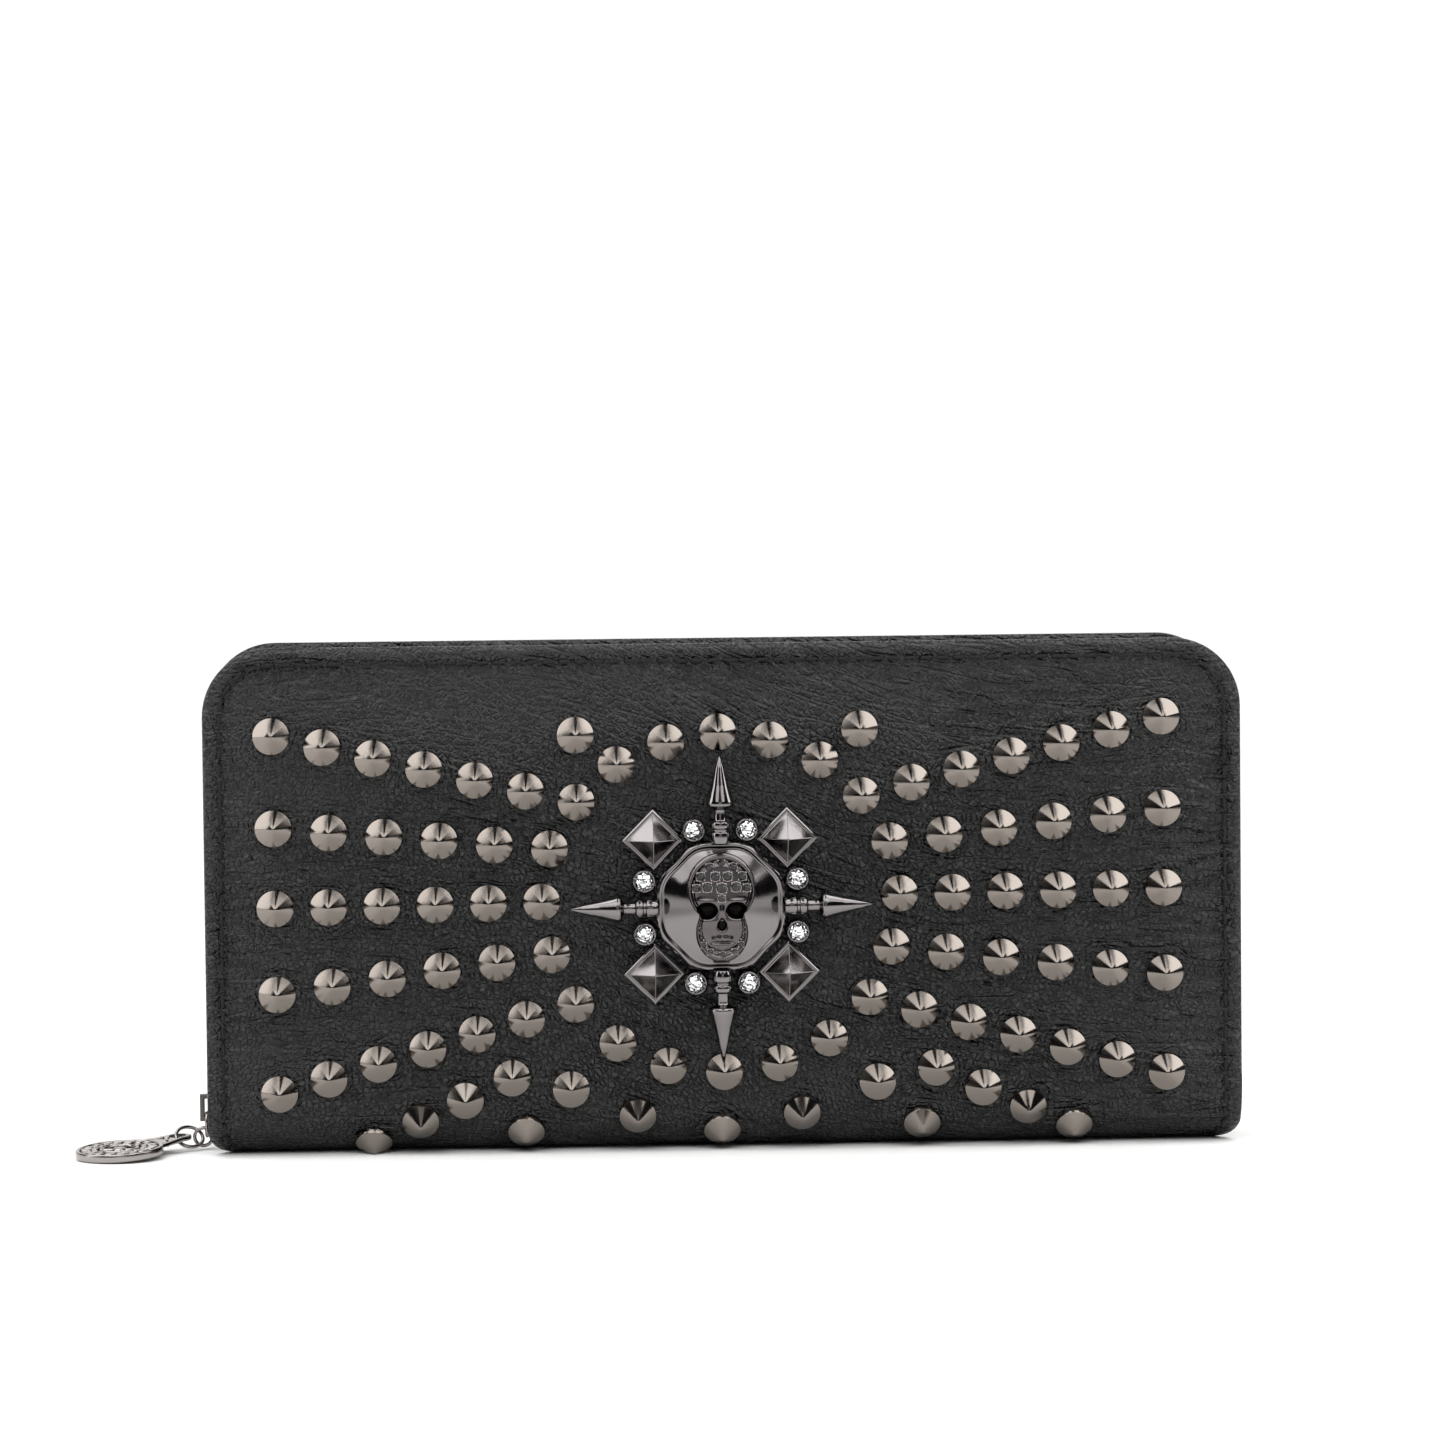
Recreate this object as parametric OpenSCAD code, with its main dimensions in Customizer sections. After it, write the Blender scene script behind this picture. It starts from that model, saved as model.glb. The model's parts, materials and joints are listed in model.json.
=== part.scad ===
// Zip-around long wallet standing on its spine, with cone studs and a skull medallion on the front.
// Frame: millimetres, +Z up, +X to the right across the wallet, the studded front faces -Y.
// The origin is the centre of the flat underside of the spine.

/* [Wallet] */
// Width across the covers
body_w = 196; // [160:1:240]
// Height of the closed wallet standing on its spine
body_h = 96; // [88:1:130]
// Thickness over both covers, without the studs
body_t = 28; // [25:1:36]
// Radius of the two top corners of each cover
corner_r = 13; // [10:1:20]
// Radius of the rolled fold along the bottom of each cover
roll_r = 11; // [9:0.5:12]
// Radius of the small bottom corners
foot_r = 4; // [2:0.5:6]

/* [Layers] */
// Thickness of the outer leather
leather_t = 1.3; // [0.9:0.1:1.8]
// Thickness of the stiffening board
board_t = 0.9; // [0.6:0.1:1.4]
// Thickness of the lining cloth
lining_t = 0.5; // [0.3:0.1:0.8]
// Thickness of the panel behind the card pockets
panel_t = 0.5; // [0.3:0.1:0.8]
// Thickness of each card pocket
pocket_t = 0.6; // [0.4:0.1:0.8]
// How much lower each card pocket ends than the one behind it
pocket_step = 10; // [7:1:12]
// Distance of the tallest card pocket's edge below the top of the wallet
pocket_drop = 15; // [12:1:24]

/* [Opening] */
// How far the front cover folds open, in degrees
front_open = 35; // [20:1:35]

/* [Main zip] */
// How far the zip tapes sit inside the edge of the covers
zip_inset = 4; // [3:0.5:6]
// Thickness of the zip tape
tape_t = 0.6; // [0.4:0.1:0.8]
// Half of the gap between the two tapes
tape_gap = 1.2; // [1.1:0.1:1.5]
// Distance from one tooth to the next on one tape
tooth_pitch = 2.5; // [2.2:0.1:3]
// Length of a tooth along the tape
tooth_l = 1.0; // [0.8:0.1:1.1]
// Height of a tooth through the tape
tooth_h = 1.6; // [1.2:0.1:2]
// Height of the slider's lower end above the ground when the wallet is shut
slider_z = 3; // [2.8:0.1:4]
// Length of the slider
slider_l = 9; // [8:0.5:10]

/* [Studs] */
// Diameter of a cone stud
stud_d = 7; // [5:0.5:8]
// Height of a cone stud
stud_h = 3.4; // [2.4:0.1:4]
// Wall thickness of a cone stud
stud_wall = 0.45; // [0.3:0.05:0.7]
// Distance from one stud to the next along the long rows
stud_pitch = 10; // [8.5:0.5:13]
// Distance of the outermost studs from the side edges
stud_margin = 14.1; // [10:0.1:20]
// How far the pattern of studs and its medallion sit to the left of the middle
pattern_shift = 0.8; // [0:0.1:2]
// How far the pattern is turned on the cover, in degrees
pattern_turn = 0.6; // [0:0.1:1.5]

/* [Medallion] */
// Height of the medallion's centre above the middle of the cover
medallion_rise = -1.6; // [-6:0.1:0]
// Diameter of the domed plate
plate_d = 25.4; // [22:0.1:28]
// Thickness of the plate's rim
plate_rim = 1.2; // [0.8:0.1:2]
// Rise of the dome above its rim
dome_rise = 3.2; // [2:0.1:5]
// Length of a spike from the plate to its tip
spike_l = 15.6; // [13:0.1:17]
// Diameter of a spike's cone
spike_d = 5.4; // [4:0.1:6]
// Gap between the plate and a pyramid's skirt
pyramid_gap = 1.05; // [0.8:0.05:2]
// Width of a pyramid across its faces
pyramid_w = 7; // [5:0.1:8]
// Height of a pyramid
pyramid_h = 5; // [3:0.1:6]
// Diameter of a crystal
crystal_d = 3.4; // [2.4:0.1:4]

/* [Coin pocket] */
// Distance of the coin pocket from each side edge of the wallet
coin_margin = 12; // [10:1:28]
// Depth of the coin pocket's mouth below the top of the wallet
coin_drop = 20; // [18:1:32]
// Thickness of the coin pocket's walls
coin_wall = 0.8; // [0.5:0.1:1]
// Inside depth of the coin pocket, front to back
coin_depth = 4.4; // [4.2:0.1:5]

/* [Zip pull] */
// Diameter of the wire of the small rings
wire_d = 0.7; // [0.5:0.05:0.8]
// Diameter of the relief disc
disc_d = 16.6; // [14:0.1:20]
// Thickness of the disc's rim
disc_t = 1.6; // [1.2:0.1:2]

/* [Hidden] */
$fn = 48;

// Small distances shared by the fits
gap = 0.1;              // between cloth pieces that lie against each other
clear = 0.2;            // between metal pieces that move past each other
far = 400;              // larger than the wallet in every direction

// Layers of a cover, as distances in from its outer face
board_in = leather_t;
lining_in = board_in + board_t;
panel_in = lining_in + lining_t;
pockets_in = panel_in + panel_t;
inner_in = pockets_in + 4 * pocket_t;

// The folds: each roll is round about an axis that is also the hinge of its cover
half_t = body_t / 2;
fold_y = half_t - roll_r;
fold_z = roll_r;
flex_angle = front_open + 2;      // part of the front roll that bends, measured up from the bottom
board_z = roll_r + 2;             // bottom edge of the boards and the card panels
board_inset = 1;
lining_inset = 1.5;
roll_lining_w = body_w - 12;      // the linings in the roll stop short of the zip ends
panel_inset = 11;
hem = 4;                          // bottom of the pockets above the panel's bottom edge
pocket_h = body_h - pocket_drop - board_z - hem;

// The main zip
zip_x = body_w / 2 - zip_inset - tape_t / 2;
zip_top = body_h - zip_inset - tape_t / 2;
zip_r = corner_r - zip_inset - tape_t / 2;
zip_z = slider_z + slider_l + 0.6;
tape_reach = half_t - panel_in - gap;
tooth_grip = 0.05;
tooth_over = 0.55;                // how far a tooth passes the middle of the zip

// The medallion's centre and the rows of studs
medallion_z = body_h / 2 + medallion_rise;
spike_collar = plate_d / 2 + gap;                  // where a spike starts beside the plate
spike_reach = spike_collar + spike_l;              // from the centre to a spike's tip
row_out_z = [0.837, 0.656, 0.499, 0.330, 0.134];   // outer ends, as parts of the height
row_in_x = [-1.5, 3.7, 5.4, 3.7, -0.6];            // inner ends, outwards from a spike's tip
row_in_z = [20.3, 11.6, 1.6, -8.4, -17.9];         // and up from the medallion's centre

// The coin pocket hangs on a rounded bottom whose centre is its hinge
coin_r = coin_depth / 2 + coin_wall;
coin_w = body_w - 2 * coin_margin;
coin_top = body_h - coin_drop;
coin_z = leather_t + board_t + lining_t + 0.3 + coin_r;

// ---------- shapes used by several pieces ----------

// A block between two corners
module block(low, high) {
    translate(low) cube(high - low);
}

// Front view of a cover, moved in from the edge by inset: round at the top and a little at the foot
module cover_shape(inset = 0) {
    w = body_w / 2 - inset;
    r = corner_r - inset;
    f = foot_r;
    union() {
        translate([-w, f]) square([2 * w, body_h - inset - r - f]);
        translate([-w + f, 0]) square([2 * (w - f), 2 * f]);
        translate([-w + r, body_h - inset - 2 * r]) square([2 * (w - r), 2 * r]);
        for (s = [-1, 1]) {
            translate([s * (w - r), body_h - inset - r]) circle(r);
            translate([s * (w - f), f]) circle(f);
        }
    }
}

// The front view cut to a slab between two depths, on the front for side -1 and the back for side 1
module slab(side, outer, inner, inset, low) {
    intersection() {
        translate([0, side > 0 ? half_t - outer : -half_t + inner, 0])
            rotate([90, 0, 0]) linear_extrude(inner - outer) cover_shape(inset);
        block([-far, -far, low], [far, far, far]);
    }
}

// A round sector in the side view, from angle a to angle b measured up from straight down
module sector(side, a, b, outer, inner) {
    reach = 3 * roll_r;
    middle = (a + b) / 2;
    intersection() {
        difference() {
            circle(roll_r - outer);
            circle(roll_r - inner);
        }
        polygon([
            [0, 0],
            [side * reach * sin(a), -reach * cos(a)],
            [side * reach * sin(middle), -reach * cos(middle)],
            [side * reach * sin(b), -reach * cos(b)]]);
    }
}

// A layer of the rolled fold
module roll(side, a, b, outer, inner, width) {
    translate([-width / 2, side * fold_y, fold_z])
        rotate([90, 0, 90]) linear_extrude(width) sector(side, a, b, outer, inner);
}

// Rounds the bottom corners of what lies in the roll
module trimmed() {
    intersection() {
        children();
        translate([0, far / 2, 0]) rotate([90, 0, 0]) linear_extrude(far) cover_shape(0);
    }
}

// Both faces of a leather cover are one flat panel and one roll
module leather_panel(side, a) {
    union() {
        slab(side, 0, leather_t, 0, fold_z);
        trimmed() roll(side, a, 90, 0, leather_t, body_w);
    }
}

module lining_panel(side, a) {
    union() {
        slab(side, lining_in, panel_in, lining_inset, fold_z + 0.01);
        roll(side, a, 90, lining_in, panel_in, roll_lining_w);
    }
}

module card_panel(side) {
    w = body_w / 2 - panel_inset + 1;
    y = half_t - panel_in;
    block([-w, min(side * y, side * (y - panel_t)), board_z],
          [w, max(side * y, side * (y - panel_t)), board_z + hem + pocket_h + 6]);
}

// One row of card pockets: a left and a right pocket with the seam between them left free
module card_pocket(side, n) {
    w = body_w / 2 - panel_inset - 1;
    outer = half_t - pockets_in - (n - 1) * pocket_t;
    inner = outer - pocket_t;
    top = board_z + hem + pocket_h - (n - 1) * pocket_step;
    for (s = [-1, 1])
        block([min(s * 1, s * w), min(side * outer, side * inner), board_z + hem],
              [max(s * 1, s * w), max(side * outer, side * inner), top]);
}

// ---------- covers ----------

module back_leather() color([0.06, 0.06, 0.065])
    union() {
        leather_panel(1, 0);
        trimmed() block([-body_w / 2, -fold_y, 0], [body_w / 2, fold_y, leather_t]);
    }

module fold_leather() color([0.06, 0.06, 0.065])
    trimmed() roll(-1, 0, flex_angle, 0, leather_t, body_w);

module front_leather() color([0.06, 0.06, 0.065])
    difference() {
        leather_panel(-1, flex_angle);
        posts(post_d / 2 + gap, -half_t - 1, -half_t + leather_t + 1);
    }

spine_w = body_w - 13;

module spine_board() color([0.55, 0.47, 0.36])
    block([-spine_w / 2, -fold_y + clear, leather_t],
          [spine_w / 2, fold_y - clear, leather_t + board_t]);

module back_board() color([0.55, 0.47, 0.36])
    slab(1, board_in, lining_in, board_inset, board_z);

module front_board() color([0.55, 0.47, 0.36])
    difference() {
        slab(-1, board_in, lining_in, board_inset, board_z);
        posts(post_d / 2 + gap, -half_t, -half_t + panel_in);
        posts(washer_d / 2 + gap, -half_t + lining_in - washer_t, -half_t + panel_in);
    }

module spine_lining() color([0.10, 0.10, 0.11])
    block([-spine_w / 2, -fold_y, lining_in], [spine_w / 2, fold_y, panel_in]);

module back_lining() color([0.10, 0.10, 0.11])
    lining_panel(1, 0);

module fold_lining() color([0.10, 0.10, 0.11])
    roll(-1, 0, flex_angle, lining_in, panel_in, roll_lining_w);

module front_lining() color([0.10, 0.10, 0.11])
    lining_panel(-1, flex_angle);

// ---------- main zip ----------

// Side of the tape ring seen from the front: straight sides, round top corners
module tape_shape(t) {
    difference() {
        cover_shape(zip_inset);
        cover_shape(zip_inset + t);
    }
}

module zip_tape(side) {
    outer = side * tape_reach;
    inner = side * tape_gap;
    intersection() {
        translate([0, max(outer, inner), 0])
            rotate([90, 0, 0]) linear_extrude(tape_reach - tape_gap) tape_shape(tape_t);
        block([-far, -far, zip_z], [far, far, far]);
    }
}

module zip_tape_back() color([0.09, 0.09, 0.095]) zip_tape(1);
module zip_tape_front() color([0.09, 0.09, 0.095]) zip_tape(-1);

// The line of the zip: up the left side, over the top and down the right side
side_run = zip_top - zip_r - zip_z;
arc_run = zip_r * PI / 2;
top_run = 2 * (zip_x - zip_r);
zip_run = 2 * side_run + 2 * arc_run + top_run;

// Place and turn on that line after a distance s; returns [x, z, angle of travel]
function zip_at(s) =
    s < side_run ? [-zip_x, zip_z + s, 90] :
    s < side_run + arc_run ? zip_corner(-1, 180 - (s - side_run) / zip_r * 180 / PI) :
    s < side_run + arc_run + top_run ? [s - side_run - arc_run - top_run / 2, zip_top, 0] :
    s < zip_run - side_run
        ? zip_corner(1, 90 - (s - side_run - arc_run - top_run) / zip_r * 180 / PI) :
    [zip_x, zip_z + zip_run - s, -90];
function zip_corner(side, a) =
    [side * (zip_x - zip_r) + zip_r * cos(a), zip_top - zip_r + zip_r * sin(a), a - 90];

module zip_teeth(side) {
    first = side > 0 ? 0.9 : 0.9 + tooth_pitch / 2;
    count = floor((zip_run - first - tooth_l - 2) / tooth_pitch) + 1;
    near = tape_gap - tooth_grip;
    for (i = [0 : count - 1]) {
        p = zip_at(first + i * tooth_pitch);
        translate([p[0], 0, p[1]]) rotate([0, -p[2], 0])
            block([-tooth_l / 2, side > 0 ? -tooth_over : -near, -tooth_h / 2],
                  [tooth_l / 2, side > 0 ? near : tooth_over, tooth_h / 2]);
    }
}

module zip_teeth_back() color([0.25, 0.24, 0.24]) zip_teeth(1);
module zip_teeth_front() color([0.25, 0.24, 0.24]) zip_teeth(-1);

// The lower ends of both tapes, sewn down inside the spine
end_tape_w = 3.4;
end_tape_z = leather_t + 0.5;

module zip_end_tapes() color([0.09, 0.09, 0.095])
    for (side = [-1, 1], end = [-1, 1])
        block([end * zip_x - tape_t / 2, side > 0 ? tape_gap : -end_tape_w, end_tape_z],
              [end * zip_x + tape_t / 2, side > 0 ? end_tape_w : -tape_gap, zip_z - 0.6]);

// Stops that are crimped over the tape ends: two below the slider, one block on the far side
stop_w = 1.4;
stop_h = 0.8;

module zip_end_stops() color([0.30, 0.29, 0.29]) {
    for (side = [-1, 1]) {
        y = side * (tape_gap + stop_w / 2);
        difference() {
            block([-zip_x - tooth_h / 2, y - stop_w / 2, end_tape_z + 0.1],
                  [-zip_x + tooth_h / 2, y + stop_w / 2, end_tape_z + 0.1 + stop_h]);
            block([-zip_x - tape_t / 2, y - far, 0], [-zip_x + tape_t / 2, y + far, far]);
        }
    }
    block([zip_x - tooth_h / 2, -tape_gap + tooth_grip, end_tape_z + 2],
          [zip_x + tooth_h / 2, tape_gap - tooth_grip, end_tape_z + 6]);
}

// Slider: two plates joined by a round post near the nose, with flanges that keep the tapes in
plate_gap = tooth_h / 2 + clear;      // from the middle of the tape to a plate
slider_plate = 0.9;
slider_w = 4.2;
flange_w = 0.8;
post_r = 1.0;

// Outline of a slider plate: broad at the nose below, narrower at the tail above
module slider_outline() {
    polygon([
        [-slider_w + 1, 0], [slider_w - 1, 0], [slider_w, 1.2], [slider_w, 0.55 * slider_l],
        [slider_w - 1, slider_l], [-slider_w + 1, slider_l], [-slider_w, 0.55 * slider_l],
        [-slider_w, 1.2]]);
}

module slider_plate_at(x) {
    translate([x, 0, slider_z]) rotate([90, 0, 90])
        linear_extrude(slider_plate) slider_outline();
}

module slider_body() color([0.32, 0.31, 0.31])
    union() {
        slider_plate_at(-zip_x - plate_gap - slider_plate);
        slider_plate_at(-zip_x + plate_gap);
        translate([-zip_x - plate_gap - slider_plate / 2, 0, slider_z + 2.3])
            rotate([0, 90, 0]) cylinder(r = post_r, h = 2 * plate_gap + slider_plate);
        for (side = [-1, 1], face = [-1, 1]) {
            near = tape_t / 2 + 0.25;
            block([-zip_x + (face < 0 ? -plate_gap - 0.1 : near),
                   side * (slider_w - flange_w / 2) - flange_w / 2, slider_z + 1.2],
                  [-zip_x + (face < 0 ? -near : plate_gap + 0.1),
                   side * (slider_w - flange_w / 2) + flange_w / 2,
                   slider_z + 0.55 * slider_l]);
        }
    }

// The bridge over the outer plate: a loop that carries the first link
bridge_x = -body_w / 2 - 2;
bridge_w = 1.2;
bridge_low = 5.4;
bridge_bar = 0.9;
bridge_high = 10.6;

module slider_bridge() color([0.32, 0.31, 0.31])
    difference() {
        block([bridge_x, -bridge_w / 2, bridge_low],
              [-zip_x - plate_gap - slider_plate, bridge_w / 2, bridge_high]);
        block([bridge_x + bridge_bar, -far, bridge_low + bridge_bar],
              [-zip_x - plate_gap - slider_plate - 0.6, far, bridge_high - bridge_bar]);
    }

// ---------- chain and disc of the pull ----------

// Ring about the Z axis
module ring(mean_r) {
    rotate_extrude() translate([mean_r, 0]) circle(d = wire_d);
}

// Oblong link in the YZ plane
link_r = 1.65;
link_half = 0.55;
link_x = bridge_x + bridge_bar + wire_d / 2 + 0.05;
link_z = 4.75;

module pull_link_1() color([0.36, 0.35, 0.35])
    translate([link_x, 0, link_z]) rotate([0, 90, 0]) union() {
        for (s = [0, 1]) rotate([0, 0, 180 * s]) {
            translate([link_half, 0, 0]) rotate([0, 0, -90])
                rotate_extrude(angle = 180) translate([link_r, 0]) circle(d = wire_d);
            translate([-link_half, link_r, 0]) rotate([0, 90, 0])
                cylinder(d = wire_d, h = 2 * link_half);
        }
    }

link2_r = 1.7;
link2_x = link_x - 0.70;
link2_z = 2.4;

module pull_link_2() color([0.36, 0.35, 0.35])
    translate([link2_x, 0, link2_z]) rotate([90, 0, 0]) ring(link2_r);

// The larger ring leans back by ring_lean and points along ring_dir, towards the front left
ring_r = 2.6;
ring_dir = 200;
ring_lean = 40;
ring_near = [link2_x - 0.2, 0, link2_z];
ring_at = ring_near + ring_r * [cos(ring_dir), sin(ring_dir), 0.04];

module pull_ring() color([0.36, 0.35, 0.35])
    translate(ring_at) rotate([0, 0, ring_dir]) rotate([-ring_lean, 0, 0]) ring(ring_r);

// The disc: drawn lying along +X from its hole, then laid down towards the front left
disc_dir = 226;
disc_drop = 4;              // slope of the disc towards the ground, in degrees
disc_reach = 15;            // from the hole to the middle of the disc
hole_r = 1.6;
tab_r = 2.7;
tab_t = 0.9;
disc_hole = ring_near + (2 * ring_r - 0.2) * [cos(ring_dir), sin(ring_dir), 0.04];
disc_z = 0.05 + disc_t / 2 * cos(disc_drop) + disc_d / 2 * sin(disc_drop)
    + disc_reach * sin(disc_drop);

module pull_disc() color([0.42, 0.41, 0.41])
    translate([disc_hole[0], disc_hole[1], disc_z])
    rotate([0, 0, disc_dir]) rotate([0, disc_drop, 0])
    difference() {
        union() {
            translate([disc_reach, 0, 0]) rotate_extrude() disc_profile();
            translate([0, 0, -tab_t / 2]) linear_extrude(tab_t) tab_shape();
            for (i = [0 : 17]) translate([disc_reach, 0, 0]) rotate([0, 0, 20 * i + 10])
                translate([disc_d / 2 - 2.1, 0, 0])
                    cube([2.2, 1.7, disc_t], center = true);
        }
        translate([0, 0, -tab_t]) cylinder(r = hole_r, h = 2 * tab_t);
        for (i = [0 : 5]) translate([disc_reach, 0, 0]) rotate([0, 0, 60 * i])
            translate([2.9, 0, -disc_t]) cylinder(r = 0.8, h = 2 * disc_t);
    }

// Half section of the disc: raised rim, sunken field and a raised boss in the middle
module disc_profile() {
    r = disc_d / 2;
    t = disc_t / 2;
    polygon([
        [0, -t], [1.4, -t], [1.8, -t + 0.4], [r - 3.6, -t + 0.4], [r - 3.4, -t + 0.15],
        [r - 0.6, -t + 0.15], [r - 0.5, -t], [r, -t + 0.3], [r, t - 0.3], [r - 0.5, t],
        [r - 0.6, t - 0.15], [r - 3.4, t - 0.15], [r - 3.6, t - 0.4], [1.8, t - 0.4],
        [1.4, t], [0, t]]);
}

// Tab that runs from the disc to the ring
module tab_shape() {
    union() {
        circle(tab_r);
        polygon([
            [0.4, tab_r - 0.05], [disc_reach - disc_d / 2 + 1.5, 4.6],
            [disc_reach - disc_d / 2 + 1.5, -4.6], [0.4, -tab_r + 0.05]]);
    }
}

// ---------- studs ----------

// Moves a piece that stands on the XY plane to the front cover at x and height z, square to it
module on_front(x, z) {
    a = z < fold_z ? asin(1 - z / roll_r) : 0;
    translate([x, -fold_y - roll_r * cos(a), z])
        rotate([90 + a, 0, 0]) children();
}

// Hollow cone with a short rim and a blunt tip, on two prongs that pierce the leather
tip_r = 0.35;
rim_h = 0.5;
prong_w = 0.6;

module stud() {
    union() {
        rotate_extrude() polygon([
            [stud_d / 2 - stud_wall, 0], [stud_d / 2, 0], [stud_d / 2, rim_h],
            [tip_r, stud_h], [0, stud_h], [0, stud_h - 1.4 * stud_wall],
            [stud_d / 2 - stud_wall, rim_h - 0.2]]);
        for (s = [-1, 1])
            block([s * (stud_d / 2 - stud_wall) - prong_w / 2, -prong_w, -leather_t],
                  [s * (stud_d / 2 - stud_wall) + prong_w / 2, prong_w, rim_h - 0.1]);
    }
}

// A stud of the pattern, which is turned about the medallion's centre and shifted with it
module stud_at(x, z) {
    rise = z - medallion_z;
    on_front(-pattern_shift + x * cos(pattern_turn) - rise * sin(pattern_turn),
             medallion_z + x * sin(pattern_turn) + rise * cos(pattern_turn)) stud();
}

// One straight row on each side, from the outer margin in towards the medallion
module long_row(n) {
    x0 = body_w / 2 - stud_margin;
    z0 = row_out_z[n] * body_h;
    x1 = spike_reach + row_in_x[n];
    z1 = medallion_z + row_in_z[n];
    steps = round(norm([x1 - x0, z1 - z0]) / stud_pitch);
    for (s = [-1, 1], i = [0 : steps])
        stud_at(s * (x0 + (x1 - x0) * i / steps), z0 + (z1 - z0) * i / steps);
}

module studs_upper_rows() color([0.45, 0.43, 0.42]) {
    long_row(0);
    long_row(1);
}

module studs_middle_rows() color([0.45, 0.43, 0.42]) {
    long_row(2);
    long_row(3);
}

module studs_lower_rows() color([0.45, 0.43, 0.42]) long_row(4);

// Scallop of seven over the top spike and arc of five under the bottom one
module studs_top_scallop() color([0.45, 0.43, 0.42]) {
    tip = medallion_z + spike_reach;
    for (s = [-1, 1]) {
        stud_at(s * 26.8, tip + 4.5);
        stud_at(s * 19.2, tip - 1.2);
        stud_at(s * 9.8, tip + 2.8);
    }
    stud_at(0, tip + 4.5);
}

module studs_lower_arc() color([0.45, 0.43, 0.42]) {
    tip = medallion_z - spike_reach;
    for (s = [-1, 1]) {
        stud_at(s * 20.0, tip + 2.9);
        stud_at(s * 10.5, tip - 1.6);
    }
    stud_at(0, tip - 3.0);
}

// Studs on the fold: a short rising row on each side and a zigzag along the bottom
fold_rise = [[66.4, 3.4], [57.5, 7.1], [49.0, 10.8], [40.1, 14.8], [29.0, 12.4]];
fold_line = [[-37.6, 4.7], [-16.5, 7.2], [-0.5, 4.1], [14.6, 7.0], [37.4, 4.5]];

module studs_fold() color([0.45, 0.43, 0.42]) {
    for (s = [-1, 1], p = fold_rise) stud_at(s * p[0], p[1]);
    for (p = fold_line) stud_at(p[0], p[1]);
}

// ---------- medallion ----------

// Brings a piece drawn on the XY plane about the origin to the medallion's place
module at_medallion() {
    translate([-pattern_shift, -half_t, medallion_z]) rotate([90, 0, 0])
        rotate([0, 0, pattern_turn]) children();
}

post_d = 2;
post_reach = 8;
washer_d = 4.6;
washer_t = 0.4;

// Four round posts between two depths
module posts(r, from, to) {
    for (s = [-1, 1], q = [-1, 1])
        translate([s * post_reach - pattern_shift, to, medallion_z + q * post_reach])
            rotate([90, 0, 0]) cylinder(r = r, h = to - from);
}

module medallion_posts() color([0.30, 0.29, 0.29])
    union() {
        posts(post_d / 2, -half_t, -half_t + lining_in);
        posts(washer_d / 2, -half_t + lining_in - washer_t, -half_t + lining_in);
    }

// Domed plate with a seat for the skull
dome_flat = 0.8;
dome_r = (pow(plate_d / 2 - dome_flat, 2) + pow(dome_rise, 2)) / (2 * dome_rise);
skull_seat = plate_rim + dome_rise - 1.1;

module medallion_plate() color([0.33, 0.32, 0.33])
    at_medallion() difference() {
        union() {
            cylinder(d = plate_d, h = plate_rim);
            intersection() {
                translate([0, 0, plate_rim + dome_rise - dome_r]) sphere(dome_r, $fn = 96);
                translate([0, 0, plate_rim - 0.01])
                    cylinder(r = plate_d / 2 - dome_flat, h = dome_rise + 1);
            }
        }
        translate([0, 0, skull_seat]) linear_extrude(5) skull_shape(gap);
    }

// Four turned spikes lying on the leather: collar, neck and cone
spike_neck = spike_collar + 6.2;
spike_step = spike_collar + 3.4;

module medallion_spikes() color([0.40, 0.39, 0.39])
    at_medallion() for (q = [0 : 3]) rotate([0, 0, 90 * q])
        translate([0, 0, spike_d / 2 + 0.05]) rotate([0, 90, 0]) rotate_extrude() polygon([
            [0, spike_collar], [1.65, spike_collar], [1.65, spike_step], [1.1, spike_step],
            [1.1, spike_neck], [spike_d / 2 - 0.4, spike_neck],
            [spike_d / 2, spike_neck + 0.5], [0.15, spike_reach], [0, spike_reach]]);

// Four stepped pyramids on the diagonals
skirt_w = pyramid_w + 1.3;
pyramid_reach = plate_d / 2 + pyramid_gap + skirt_w / 2;

module medallion_pyramids() color([0.40, 0.39, 0.39])
    at_medallion() for (q = [0 : 3]) rotate([0, 0, 45 + 90 * q]) translate([pyramid_reach, 0, 0])
        union() {
            block([-skirt_w / 2, -skirt_w / 2, 0], [skirt_w / 2, skirt_w / 2, 0.8]);
            block([-pyramid_w / 2, -pyramid_w / 2, 0.7], [pyramid_w / 2, pyramid_w / 2, 1.6]);
            translate([0, 0, 1.5]) rotate([0, 0, 45])
                cylinder(d1 = pyramid_w * sqrt(2), d2 = 0.3, h = pyramid_h - 1.5, $fn = 4);
        }

// Eight crystals in cups, two beside each spike
crystal_turn = 19;
cup_d = crystal_d + 1.4;
crystal_reach = plate_d / 2 + clear + cup_d / 2;
cup_h = 2.2;

module at_crystals() {
    at_medallion() for (q = [0 : 3], s = [-1, 1]) rotate([0, 0, 90 * q + s * crystal_turn])
        translate([crystal_reach, 0, 0]) children();
}

module crystal_cups() color([0.36, 0.35, 0.36])
    at_crystals() difference() {
        cylinder(d = cup_d, h = cup_h);
        translate([0, 0, 0.9]) cylinder(d = crystal_d + 0.1, h = cup_h);
    }

module crystals() color([0.92, 0.94, 0.95])
    at_crystals() rotate_extrude() polygon([
        [0, 0.95], [crystal_d / 2, 1.9], [crystal_d / 2, 2.1], [crystal_d / 4, 2.7], [0, 2.7]]);

// Outline of the skull: a round cranium, cheeks and a narrower jaw
skull_w = 13.1;
skull_h = 20.9;

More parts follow.
